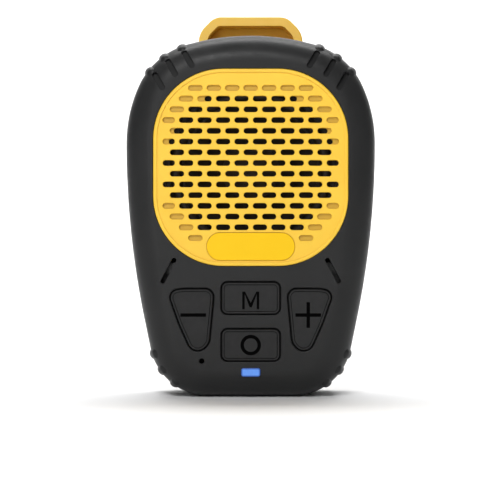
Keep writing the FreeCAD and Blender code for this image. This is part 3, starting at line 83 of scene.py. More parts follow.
class Recipe:
    """A node material in the making: one Principled shader and the textures that feed it."""

    def __init__(self, name: str) -> None:
        """Starts an empty material.

        Args:
            name: the finish's name.
        """
        self.material = bpy.data.materials.new(name)
        self.material.use_nodes = True
        self.tree = self.material.node_tree
        self.tree.nodes.clear()
        out = self.tree.nodes.new("ShaderNodeOutputMaterial")
        self.shader = self.tree.nodes.new("ShaderNodeBsdfPrincipled")
        self.tree.links.new(self.shader.outputs["BSDF"], out.inputs["Surface"])
        self.coords = self.tree.nodes.new("ShaderNodeTexCoord").outputs["Object"]

    def set(self, **values: float) -> None:
        """Sets the shader's own sockets.

        Args:
            values: socket names with underscores for spaces, and their values.
        """
        for name, value in values.items():
            self.shader.inputs[name.replace("_", " ")].default_value = value

    def stretched(self, axis: Axis) -> bpy.types.NodeSocket:
        """Object coordinates squeezed along an axis, so that a grain runs along it."""
        mapping = self.tree.nodes.new("ShaderNodeMapping")
        mapping.inputs["Scale"].default_value = [GRAIN_SQUEEZE if name == axis.value else 1.0
                                                 for name in "XYZ"]
        self.tree.links.new(self.coords, mapping.inputs["Vector"])
        return mapping.outputs["Vector"]

    def noise(self, grain_mm: float, detail: float = 2.0, rough: float = 0.5,
              axis: Axis = Axis.ALL) -> bpy.types.NodeSocket:
        """Cloudy texture.

        Args:
            grain_mm: size of one grain in millimetres.
            detail: octaves of finer grain.
            rough: how strong the finer grain is.
            axis: direction that the grain runs along.

        Returns:
            The texture's value.
        """
        node = self.tree.nodes.new("ShaderNodeTexNoise")
        node.inputs["Scale"].default_value = 1.0 / (grain_mm * MM)
        node.inputs["Detail"].default_value = detail
        node.inputs["Roughness"].default_value = rough
        source = self.coords if axis is Axis.ALL else self.stretched(axis)
        self.tree.links.new(source, node.inputs["Vector"])
        return node.outputs["Fac"]

    def cells(self, cell_mm: float) -> bpy.types.NodeSocket:
        """Pebbled texture of round cells.

        Args:
            cell_mm: size of one cell in millimetres.

        Returns:
            The distance from the nearest cell's middle.
        """
        node = self.tree.nodes.new("ShaderNodeTexVoronoi")
        node.feature = "F1"
        node.inputs["Scale"].default_value = 1.0 / (cell_mm * MM)
        self.tree.links.new(self.coords, node.inputs["Vector"])
        return node.outputs["Distance"]

    def bands(self, pitch_mm: float, direction: str, distortion: float = 0.0) -> bpy.types.NodeSocket:
        """Even parallel bands.

        Args:
            pitch_mm: distance from band to band in millimetres.
            direction: X, Y or Z, across the bands.
            distortion: how uneven they are.

        Returns:
            The bands' value.
        """
        node = self.tree.nodes.new("ShaderNodeTexWave")
        node.wave_type = "BANDS"
        node.bands_direction = direction
        node.inputs["Scale"].default_value = math.tau / WAVE_RADIANS / (pitch_mm * MM)
        node.inputs["Distortion"].default_value = distortion
        self.tree.links.new(self.coords, node.inputs["Vector"])
        return node.outputs["Fac"]

    def spread(self, source: bpy.types.NodeSocket, low: float, high: float,
               from_low: float = 0.3, from_high: float = 0.7) -> bpy.types.NodeSocket:
        """The source's middle range spread between two values."""
        node = self.tree.nodes.new("ShaderNodeMapRange")
        node.inputs["From Min"].default_value = from_low
        node.inputs["From Max"].default_value = from_high
        node.inputs["To Min"].default_value = low
        node.inputs["To Max"].default_value = high
        self.tree.links.new(source, node.inputs["Value"])
        return node.outputs["Result"]

    def colour_mix(self, factor: bpy.types.NodeSocket) -> tuple[dict[str, bpy.types.NodeSocket],
                                                                bpy.types.NodeSocket]:
        """Starts a mix of two colours.

        Args:
            factor: how far it goes from A to B.

        Returns:
            The colour sockets A and B by name, and the mixed colour.
        """
        node = self.tree.nodes.new("ShaderNodeMix")
        node.data_type = "RGBA"
        self.tree.links.new(factor, node.inputs["Factor"])
        inputs = {socket.name: socket for socket in node.inputs if socket.type == "RGBA"}
        return inputs, next(socket for socket in node.outputs if socket.type == "RGBA")

    def drift(self, first: Colour, second: Colour, grain_mm: float, detail: float = 3.0,
              rough: float = 0.5) -> bpy.types.NodeSocket:
        """Cloudy drift between two near colours.

        Args:
            first: colour at one end.
            second: colour at the other.
            grain_mm: size of one cloud in millimetres.
            detail: octaves of finer cloud.
            rough: how strong the finer cloud is.

        Returns:
            The colour.
        """
        return self.blend(self.spread(self.noise(grain_mm, detail, rough), 0.0, 1.0), first, second)

    def blend(self, factor: bpy.types.NodeSocket, first: Colour, second: Colour) -> bpy.types.NodeSocket:
        """Colour between two, by a factor from 0 to 1."""
        inputs, result = self.colour_mix(factor)
        inputs["A"].default_value = first
        inputs["B"].default_value = second
        return result

    def mixed(self, factor: bpy.types.NodeSocket, first: bpy.types.NodeSocket,
              second: Colour) -> bpy.types.NodeSocket:
        """A textured colour that gives way to a plain one as the factor goes to 1."""
        inputs, result = self.colour_mix(factor)
        self.tree.links.new(first, inputs["A"])
        inputs["B"].default_value = second
        return result

    def multiply(self, first: bpy.types.NodeSocket, second: bpy.types.NodeSocket) -> bpy.types.NodeSocket:
        """The product of two values."""
        node = self.tree.nodes.new("ShaderNodeMath")
        node.operation = "MULTIPLY"
        self.tree.links.new(first, node.inputs[0])
        self.tree.links.new(second, node.inputs[1])
        return node.outputs["Value"]

    def place(self, axis: str, start_mm: float, end_mm: float) -> bpy.types.NodeSocket:
        """Value that climbs from 0 to 1 between two places along an axis of the object.

        Args:
            axis: X, Y or Z.
            start_mm: where it leaves 0.
            end_mm: where it reaches 1.

        Returns:
            The value.
        """
        split = self.tree.nodes.new("ShaderNodeSeparateXYZ")
        self.tree.links.new(self.coords, split.inputs["Vector"])
        return self.spread(split.outputs[axis], 0.0, 1.0, start_mm * MM, end_mm * MM)

    def feed(self, socket: str, source: bpy.types.NodeSocket) -> None:
        """Joins a texture to one of the shader's sockets."""
        self.tree.links.new(source, self.shader.inputs[socket])

    def relief(self, height: bpy.types.NodeSocket, depth_mm: float, strength: float = 1.0,
               edge_mm: float = 0.0) -> None:
        """Adds fine relief on top of what the normal already has.

        Args:
            height: the texture that is raised and sunk.
            depth_mm: its depth in millimetres.
            strength: how much of it shows.
            edge_mm: radius that sharp edges catch the light with.
        """
        bump = self.tree.nodes.new("ShaderNodeBump")
        bump.inputs["Strength"].default_value = strength
        bump.inputs["Distance"].default_value = depth_mm * MM
        self.tree.links.new(height, bump.inputs["Height"])
        held = self.shader.inputs["Normal"]
        if held.is_linked:
            self.tree.links.new(held.links[0].from_socket, bump.inputs["Normal"])
        elif edge_mm > 0:
            bevel = self.tree.nodes.new("ShaderNodeBevel")
            bevel.samples = BEVEL_SAMPLES
            bevel.inputs["Radius"].default_value = edge_mm * MM
            self.tree.links.new(bevel.outputs["Normal"], bump.inputs["Normal"])
        self.tree.links.new(bump.outputs["Normal"], held)

    def gloss(self, low: float, high: float, grain_mm: float, detail: float = 3.0, rough: float = 0.5,
              axis: Axis = Axis.ALL) -> None:
        """Gives the surface an uneven gloss.

        Args:
            low: roughness where it shines most.
            high: roughness where it shines least.
            grain_mm: size of one patch in millimetres.
            detail: octaves of finer patches.
            rough: how strong the finer patches are.
            axis: direction that the patches run along.
        """
        self.feed("Roughness", self.spread(self.noise(grain_mm, detail, rough, axis), low, high))

    def pebble(self, roughness: float, edge_mm: float) -> None:
        """Gives rubber its pebbled micro grain and uneven gloss.

        Args:
            roughness: the middle of its gloss.
            edge_mm: radius that sharp edges catch the light with.
        """
        self.gloss(roughness - 0.08, roughness + 0.1, 1.1)
        self.relief(self.cells(0.14), 0.008, strength=0.8, edge_mm=edge_mm)


# ---------------------------------------------------------------- finishes


class Finish(Protocol):
    """Anything that can make a named material."""

    name: str

    def make(self) -> bpy.types.Material:
        """Builds the material."""


def dimmed(colour: Colour, share: float) -> Colour:
    """The colour at a share of its brightness."""
    return tuple(part * share for part in colour[:3]) + (1.0,)


@dataclass(frozen=True)
class MouldedPlastic:
    """Spark-textured injection-moulded plastic."""

    name: str
    colour: Colour
    shade: Colour
    roughness: float = 0.5
    roughness_spread: float = 0.08
    grain_mm: float = 0.16
    relief_mm: float = 0.012
    specular: float = 0.4
    edge_mm: float = 0.12
    tone_mm: float = 14.0
    # painted shade: a darker colour laid on where the surface lies deep, between the two depths after it
    pit_shade: Colour | None = None
    pit_shade_y_mm: tuple[float, float] = (0.0, 1.0)

    def make(self) -> bpy.types.Material:
        """Builds the material: slow tone drift, fine grain, uneven gloss, and a painted shade that darkens
        its pits with depth.
        """
        recipe = Recipe(self.name)
        recipe.set(Specular_IOR_Level=self.specular)
        skin = recipe.drift(self.colour, self.shade, self.tone_mm)
        # painted shade: the deeper the surface lies along Y, the more it takes the darker pit colour
        if self.pit_shade is not None:
            skin = recipe.mixed(recipe.place("Y", *self.pit_shade_y_mm), skin, self.pit_shade)
        recipe.feed("Base Color", skin)
        recipe.gloss(self.roughness - self.roughness_spread, self.roughness + self.roughness_spread,
                     2.2, detail=4.0, rough=0.65)
        recipe.relief(recipe.noise(self.grain_mm, rough=0.6), self.relief_mm, edge_mm=self.edge_mm)
        recipe.relief(recipe.noise(9.0, detail=1.0), 0.02, strength=0.4)
        return recipe.material


@dataclass(frozen=True)
class SoftRubber:
    """Matte elastomer with a dusty bloom."""

    name: str
    colour: Colour
    shade: Colour
    roughness: float = 0.7
    edge_mm: float = 0.1
    specular: float = 0.3

    def make(self) -> bpy.types.Material:
        """Builds the material: pebbled micro grain and a faint bloom."""
        recipe = Recipe(self.name)
        recipe.set(Specular_IOR_Level=self.specular, Sheen_Weight=0.04, Sheen_Roughness=0.5)
        recipe.feed("Base Color", recipe.drift(self.colour, self.shade, 3.0, detail=5.0, rough=0.7))
        recipe.pebble(self.roughness, self.edge_mm)
        return recipe.material


@dataclass(frozen=True)
class KeyRubber:
    """Matte rubber key, black wherever it lies below its own top face: paint in its signs, and painted shade
    on its edges and sides.
    """

    name: str
    colour: Colour
    shade: Colour
    sunk: Colour
    face_y_mm: float
    step_mm: tuple[float, float] = (0.05, 0.11)
    roughness: float = 0.62
    edge_mm: float = 0.05
    specular: float = 0.3

    def make(self) -> bpy.types.Material:
        """Builds the material: pebbled grain on top, deep black paint in the sunk lines, and painted shade
        on the edges and sides below the top face.
        """
        recipe = Recipe(self.name)
        recipe.set(Specular_IOR_Level=self.specular, Sheen_Weight=0.03, Sheen_Roughness=0.5)
        top = recipe.drift(self.colour, self.shade, 3.0, detail=5.0, rough=0.7)
        # black below the top face: paint in the signs, painted shade on the key's edges and sides
        depth = recipe.place("Y", self.face_y_mm + self.step_mm[0], self.face_y_mm + self.step_mm[1])
        recipe.feed("Base Color", recipe.mixed(depth, top, self.sunk))
        recipe.pebble(self.roughness, self.edge_mm)
        return recipe.material


@dataclass(frozen=True)
class WorkedMetal:
    """Drawn, brushed or plated metal."""

    name: str
    colour: Colour
    shade: Colour
    roughness: float = 0.3
    axis: Axis = Axis.ALL
    grain_mm: float = 0.25
    relief_mm: float = 0.004
    anisotropy: float = 0.0

    def make(self) -> bpy.types.Material:
        """Builds the material: brushing or plating mottle, and handling marks in the gloss."""
        recipe = Recipe(self.name)
        recipe.set(Metallic=1.0, Anisotropic=self.anisotropy)
        recipe.feed("Base Color", recipe.drift(self.colour, self.shade, 2.4, detail=4.0, rough=0.6))
        recipe.gloss(self.roughness - 0.08, self.roughness + 0.14, self.grain_mm, rough=0.6, axis=self.axis)
        recipe.relief(recipe.noise(self.grain_mm, axis=self.axis), self.relief_mm, strength=0.7,
                      edge_mm=0.05)
        return recipe.material


@dataclass(frozen=True)
class PressedPaper:
    """Paper or cloth that is pressed to shape, with its fibres showing."""

    name: str
    colour: Colour
    shade: Colour
    fibre_mm: float = 0.5
    weave_mm: float = 0.0
    roughness: float = 0.85

    def make(self) -> bpy.types.Material:
        """Builds the material: tangled fibres, or a weave where a pitch is given."""
        recipe = Recipe(self.name)
        recipe.set(Specular_IOR_Level=0.25, Sheen_Weight=0.12, Sheen_Roughness=0.6)
        fibres = recipe.noise(self.fibre_mm, detail=8.0, rough=0.75)
        if self.weave_mm > 0:
            fibres = recipe.multiply(recipe.bands(self.weave_mm, "X", distortion=0.4),
                                     recipe.bands(self.weave_mm, "Z", distortion=0.4))
        share = recipe.spread(fibres, 0.0, 1.0, from_low=0.2, from_high=0.8)
        recipe.feed("Base Color", recipe.blend(share, self.colour, self.shade))
        recipe.feed("Roughness", recipe.spread(fibres, self.roughness - 0.1, self.roughness + 0.1))
        recipe.relief(fibres, 0.05, strength=0.7)
        return recipe.material


@dataclass(frozen=True)
class LitLens:
    """Diffusing lamp window, lit from behind."""

    name: str
    colour: Colour
    glow: Colour
    strength: float = 0.88
    centre_mm: tuple[float, float] = (0.0, 0.0)
    half_mm: tuple[float, float] = (0.0, 0.0)
    fade_mm: float = 0.55

    def make(self) -> bpy.types.Material:
        """Builds the material: a glow that fades at the rim, under a faintly frosted skin."""
        recipe = Recipe(self.name)
        recipe.set(Roughness=0.35, Specular_IOR_Level=0.4, Emission_Strength=self.strength)
        recipe.feed("Base Color", recipe.drift(self.colour, dimmed(self.colour, 0.8), 1.5, detail=2.0))
        light = recipe.drift(self.glow, dimmed(self.glow, 0.88), 0.9, detail=2.0)
        if self.half_mm[0] > 0:
            for axis, centre, half in zip("XZ", self.centre_mm, self.half_mm):
                for side in (-1, 1):
                    edge = centre + side * half
                    fade = recipe.place(axis, edge - side * self.fade_mm, edge)
                    light = recipe.mixed(fade, light, self.colour)
        recipe.feed("Emission Color", light)
        recipe.relief(recipe.noise(0.12), 0.004, strength=0.6, edge_mm=0.1)
        return recipe.material


@dataclass(frozen=True)
class BoardLaminate:
    """Printed board: solder mask over copper tracks on a glass weave."""

    name: str
    mask: Colour
    track: Colour
    track_mm: float = 1.1
    weave_mm: float = 0.4

    def make(self) -> bpy.types.Material:
        """Builds the material: tracks that run under the mask, the weave, and a satin gloss."""
        recipe = Recipe(self.name)
        recipe.set(Specular_IOR_Level=0.5, Coat_Weight=0.25, Coat_Roughness=0.2)
        lines = recipe.multiply(recipe.bands(self.track_mm, "X", distortion=2.0),
                                recipe.noise(4.0, detail=1.0))
        tracks = recipe.spread(lines, 0.0, 1.0, from_low=0.28, from_high=0.33)
        recipe.feed("Base Color", recipe.blend(tracks, self.mask, self.track))
        recipe.gloss(0.28, 0.45, 0.4)
        recipe.relief(tracks, 0.03, strength=0.6)
        weave = recipe.multiply(recipe.bands(self.weave_mm, "X"), recipe.bands(self.weave_mm, "Z"))
        recipe.relief(weave, 0.01, strength=0.4)
        return recipe.material


@dataclass(frozen=True)
class CrinkledFoil:
    """Laminated foil of a pouch cell."""

    name: str
    colour: Colour
    shade: Colour

    def make(self) -> bpy.types.Material:
        """Builds the material: shallow crinkles in a soft metal sheen."""
        recipe = Recipe(self.name)
        recipe.set(Metallic=0.85)
        recipe.feed("Base Color", recipe.drift(self.colour, self.shade, 6.0))
        recipe.gloss(0.26, 0.42, 1.5)
        recipe.relief(recipe.noise(3.5, detail=3.0, rough=0.6), 0.12, strength=0.5)
        recipe.relief(recipe.cells(0.5), 0.01, strength=0.4)
        return recipe.material


@dataclass(frozen=True)
class Winding:
    """Enamelled copper wire, wound turn beside turn."""

    name: str
    colour: Colour
    shade: Colour
    wire_mm: float = 0.18

    def make(self) -> bpy.types.Material:
        """Builds the material: a band for each turn, darker towards the creases between turns as painted
        shade, with enamel gloss.
        """
        recipe = Recipe(self.name)
        recipe.set(Metallic=0.9, Coat_Weight=0.4, Coat_Roughness=0.15)
        turns = recipe.bands(self.wire_mm, "Y")
        # painted shade: each turn's colour darkens towards the creases between turns
        recipe.feed("Base Color", recipe.blend(turns, self.shade, self.colour))
        recipe.gloss(0.25, 0.4, 0.6, detail=2.0)
        recipe.relief(turns, 0.06, strength=0.9)
        return recipe.material


HOUSING_BLACK = MouldedPlastic("housing_black", (0.024, 0.0242, 0.0245, 1), (0.021, 0.0212, 0.0215, 1),
                               roughness=0.38, grain_mm=0.2, relief_mm=0.02, specular=0.15)
GRILLE_RIM_MM = 0.35            # the grille's rim stands this far above its face
GRILLE_PIT_SHADE_MM = (0.15, 0.75)    # depths between which its slots darken with a painted shade
GRILLE_FACE_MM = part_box("speaker_grille")[0].y / MM + GRILLE_RIM_MM
# the grille's slots take a painted shade, darker with depth below the face
GRILLE_YELLOW = MouldedPlastic("grille_yellow", (0.93, 0.58, 0.045, 1), (0.89, 0.545, 0.038, 1),
                               roughness=0.42, grain_mm=0.22, relief_mm=0.008, edge_mm=0.16,
                               pit_shade=(0.6, 0.37, 0.03, 1),
                               pit_shade_y_mm=(GRILLE_FACE_MM + GRILLE_PIT_SHADE_MM[0],
                                         GRILLE_FACE_MM + GRILLE_PIT_SHADE_MM[1]))
BADGE_YELLOW = MouldedPlastic("badge_yellow", (0.93, 0.57, 0.004, 1), (0.91, 0.55, 0.003, 1),
                              roughness=0.42, grain_mm=0.3, relief_mm=0.003, specular=0.2, edge_mm=0.06)
# painted light: a little brighter than the grille's yellow, making up for the light the clip lacks behind
# the body's top
CLIP_YELLOW = MouldedPlastic("clip_yellow", (0.97, 0.59, 0.06, 1), (0.93, 0.55, 0.055, 1),
                             roughness=0.42, grain_mm=0.25, relief_mm=0.008, edge_mm=0.15)
# the keys go black below their top face: sign paint, and painted shade on their edges and sides
KEY_BLACK = KeyRubber("key_black", (0.028, 0.028, 0.0284, 1), (0.0245, 0.0245, 0.025, 1),
                      sunk=(0.0008, 0.0008, 0.0008, 1), face_y_mm=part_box("key_mode")[0].y / MM,
                      specular=0.12)
SIGN_BLACK = MouldedPlastic("sign_black", (0.0006, 0.0006, 0.0006, 1), (0.0009, 0.0009, 0.0009, 1),
                            roughness=0.6, specular=0.02, edge_mm=0.03)
MAT_BLACK = SoftRubber("mat_black", (0.01, 0.01, 0.01, 1), (0.006, 0.006, 0.006, 1), roughness=0.6)
SOFT_BLACK = SoftRubber("soft_black", (0.012, 0.012, 0.012, 1), (0.02, 0.02, 0.02, 1), roughness=0.8)
SURROUND_BLACK = SoftRubber("surround_black", (0.015, 0.015, 0.015, 1), (0.022, 0.022, 0.022, 1),
                            roughness=0.5)
LENS_LOW, LENS_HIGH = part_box("led_lens")
LENS_FLANGE_MM = 0.6            # hidden edge round the lamp window
LAMP_BLUE = LitLens("lamp_blue", (0.01, 0.04, 0.2, 1), (0.13, 0.33, 0.85, 1),
                    centre_mm=(0.0, (LENS_LOW.z + LENS_HIGH.z) / 2 / MM),
                    half_mm=((LENS_HIGH.x - LENS_LOW.x) / 2 / MM - LENS_FLANGE_MM,
                             (LENS_HIGH.z - LENS_LOW.z) / 2 / MM - LENS_FLANGE_MM))
CLEAR_RESIN = LitLens("clear_resin", (0.8, 0.85, 0.9, 1), (0.5, 0.7, 1.0, 1), 0.5)
SCREW_STEEL = WorkedMetal("screw_steel", (0.2, 0.2, 0.21, 1), (0.12, 0.12, 0.13, 1), roughness=0.36)
BRIGHT_STEEL = WorkedMetal("bright_steel", (0.62, 0.62, 0.63, 1), (0.5, 0.5, 0.52, 1), roughness=0.25,
                           axis=Axis.X, anisotropy=0.3)
SPRING_STEEL = WorkedMetal("spring_steel", (0.45, 0.45, 0.47, 1), (0.34, 0.34, 0.36, 1), roughness=0.3)
TINNED_STEEL = WorkedMetal("tinned_steel", (0.7, 0.7, 0.72, 1), (0.6, 0.6, 0.62, 1), roughness=0.28,
                           axis=Axis.X)
PLATED_STEEL = WorkedMetal("plated_steel", (0.6, 0.6, 0.56, 1), (0.5, 0.5, 0.47, 1), roughness=0.34)
DRAWN_CAN = WorkedMetal("drawn_can", (0.75, 0.75, 0.75, 1), (0.68, 0.68, 0.68, 1), roughness=0.24,
                        axis=Axis.Y)
FRAME_COAT = MouldedPlastic("frame_coat", (0.03, 0.03, 0.032, 1), (0.022, 0.022, 0.024, 1),
                            roughness=0.38, grain_mm=0.3, relief_mm=0.02)
FERRITE = MouldedPlastic("ferrite", (0.045, 0.045, 0.05, 1), (0.03, 0.03, 0.034, 1), roughness=0.6,
                         grain_mm=0.1, relief_mm=0.03)
CHIP_RESIN = MouldedPlastic("chip_resin", (0.02, 0.02, 0.021, 1), (0.014, 0.014, 0.015, 1),
                            roughness=0.55, grain_mm=0.08, relief_mm=0.01)
CERAMIC = MouldedPlastic("ceramic", (0.38, 0.27, 0.16, 1), (0.3, 0.21, 0.12, 1), roughness=0.4)
NYLON = MouldedPlastic("nylon", (0.72, 0.69, 0.58, 1), (0.66, 0.63, 0.52, 1), roughness=0.42)
SOCKET_BLACK = MouldedPlastic("socket_black", (0.015, 0.015, 0.015, 1), (0.01, 0.01, 0.01, 1),
                              roughness=0.35)
TAG_BOARD = PressedPaper("tag_board", (0.3, 0.16, 0.06, 1), (0.2, 0.1, 0.04, 1), roughness=0.6)
CONE_PAPER = PressedPaper("cone_paper", (0.022, 0.022, 0.023, 1), (0.036, 0.036, 0.037, 1))
DUST_CAP = PressedPaper("dust_cap", (0.05, 0.05, 0.052, 1), (0.07, 0.07, 0.072, 1), fibre_mm=0.3,
                        roughness=0.55)
SPIDER_CLOTH = PressedPaper("spider_cloth", (0.6, 0.42, 0.16, 1), (0.42, 0.28, 0.1, 1), weave_mm=0.35)
FOAM_BLACK = PressedPaper("foam_black", (0.02, 0.02, 0.02, 1), (0.035, 0.035, 0.035, 1), fibre_mm=0.25)
FELT_BLACK = PressedPaper("felt_black", (0.004, 0.004, 0.004, 1), (0.008, 0.008, 0.008, 1), fibre_mm=0.2)
BOARD_BLACK = BoardLaminate("board_black", (0.003, 0.005, 0.004, 1), (0.008, 0.013, 0.01, 1))
POUCH_FOIL = CrinkledFoil("pouch_foil", (0.6, 0.61, 0.63, 1), (0.5, 0.51, 0.53, 1))
# the darker of these colours is painted shade in the creases between the turns
COPPER_WIRE = Winding("copper_wire", (0.72, 0.3, 0.12, 1), (0.3, 0.1, 0.04, 1))
LEAD_RED = MouldedPlastic("lead_red", (0.5, 0.015, 0.01, 1), (0.42, 0.012, 0.008, 1), roughness=0.35)
LEAD_BLACK = MouldedPlastic("lead_black", (0.012, 0.012, 0.012, 1), (0.008, 0.008, 0.008, 1),
                            roughness=0.35)
STUDIO_WHITE = MouldedPlastic("studio_white", (0.9, 0.9, 0.9, 1), (0.88, 0.88, 0.88, 1), roughness=0.8,
                              grain_mm=3.0, relief_mm=0.0, specular=0.2, edge_mm=0.0, tone_mm=300.0)


def mesh_object(mesh: bmesh.types.BMesh, name: str, smooth: bool = True) -> bpy.types.Object:
    """Puts a finished mesh in the scene as an object.

    Args:
        mesh: the mesh, which this frees.
        name: the object's name.
        smooth: whether its faces are shaded smooth.

    Returns:
        The object.
    """
    data = bpy.data.meshes.new(name)
    mesh.to_mesh(data)
    mesh.free()
    for face in data.polygons:
        face.use_smooth = smooth
    made = bpy.data.objects.new(name, data)
    bpy.context.scene.collection.objects.link(made)
    return made


class Paintbox:
    """Makes each finish once and puts it on the nodes that wear it."""

    def __init__(self) -> None:
        """Starts with no finish made."""
        self.made: dict[str, bpy.types.Material] = {}

    def material(self, finish: Finish) -> bpy.types.Material:
        """The finish's material, made when it is first asked for."""
        if finish.name not in self.made:
            self.made[finish.name] = finish.make()
        return self.made[finish.name]

    def dress(self, finish: Finish, nodes: Iterable[str]) -> None:
        """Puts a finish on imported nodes.

        Args:
            finish: the finish that they wear.
            nodes: the nodes' names.
        """
        for name in nodes:
            self.dress_piece(finish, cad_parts[name])
            LOG.info("dressed %s in %s", name, finish.name)

    def dress_piece(self, finish: Finish, piece: bpy.types.Object) -> None:
        """Puts a finish on one object."""
        piece.data.materials.clear()
        piece.data.materials.append(self.material(finish))

    def finish_piece(self, mesh: bmesh.types.BMesh, name: str, finish: Finish, body: str | None,
                     smooth: bool = True) -> bpy.types.Object:
        """Turns a finished mesh into a piece of the object.

        Args:
            mesh: the mesh, which this frees.
            name: the piece's name.
            finish: the finish that it wears.
            body: the body that it rides on, or None to leave it unattached.
            smooth: whether its faces are shaded smooth.

        Returns:
            The piece.
        """
        piece = mesh_object(mesh, name, smooth)
        self.dress_piece(finish, piece)
        if body is not None:
            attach(piece, body)
        LOG.info("made %s in %s", name, finish.name)
        return piece


def circle(steps: int) -> list[float]:
    """Angles of points evenly spaced round a circle."""
    return [math.tau * k / steps for k in range(steps)]


def bridge(mesh: bmesh.types.BMesh, first: Sequence[bmesh.types.BMVert],
           second: Sequence[bmesh.types.BMVert]) -> None:
    """Joins two closed loops of as many points by a band of faces."""
    count = len(first)
    for k in range(count):
        after = (k + 1) % count
        mesh.faces.new((first[k], first[after], second[after], second[k]))


def swept_wire(path: Sequence[Vector], radius: float, sides: int = 14) -> bmesh.types.BMesh:
    """Round wire along a path, closed at both ends.

    Args:
        path: points along the wire's middle.
        radius: the wire's radius.
        sides: points round the wire.

    Returns:
        The wire's mesh.
    """
    mesh = bmesh.new()
    rings = []
    across = (path[1] - path[0]).orthogonal().normalized()
    last = len(path) - 1
    for index, place in enumerate(path):
        along = (path[min(index + 1, last)] - path[max(index - 1, 0)]).normalized()
        across = (across - along * across.dot(along)).normalized()
        upward = along.cross(across)
        rings.append([mesh.verts.new(place + radius * (math.cos(turn) * across + math.sin(turn) * upward))
                      for turn in circle(sides)])
    for first, second in zip(rings, rings[1:]):
        bridge(mesh, first, second)
    mesh.faces.new(list(reversed(rings[0])))
    mesh.faces.new(rings[-1])
    bmesh.ops.recalc_face_normals(mesh, faces=mesh.faces)
    return mesh


# ---------------------------------------------------------------- sub-assemblies


@dataclass
class Housing:
    """Two black shells and the screws that hold them together."""

    shells: Sequence[str] = ("front_shell", "rear_shell")
    screws: Sequence[str] = ("housing_screws",)

    def dress(self, paints: Paintbox) -> None:
        """Gives the shells and screws their finishes."""
        paints.dress(HOUSING_BLACK, self.shells)
        paints.dress(SCREW_STEEL, self.screws)


@dataclass
class Grille:
    """Slotted cover with its blank nameplate."""

    cover: str = "speaker_grille"
    plate: str = "badge_plate"

    def dress(self, paints: Paintbox) -> None:
        """Gives the cover and the plate their finishes."""
        paints.dress(GRILLE_YELLOW, [self.cover])
        paints.dress(BADGE_YELLOW, [self.plate])


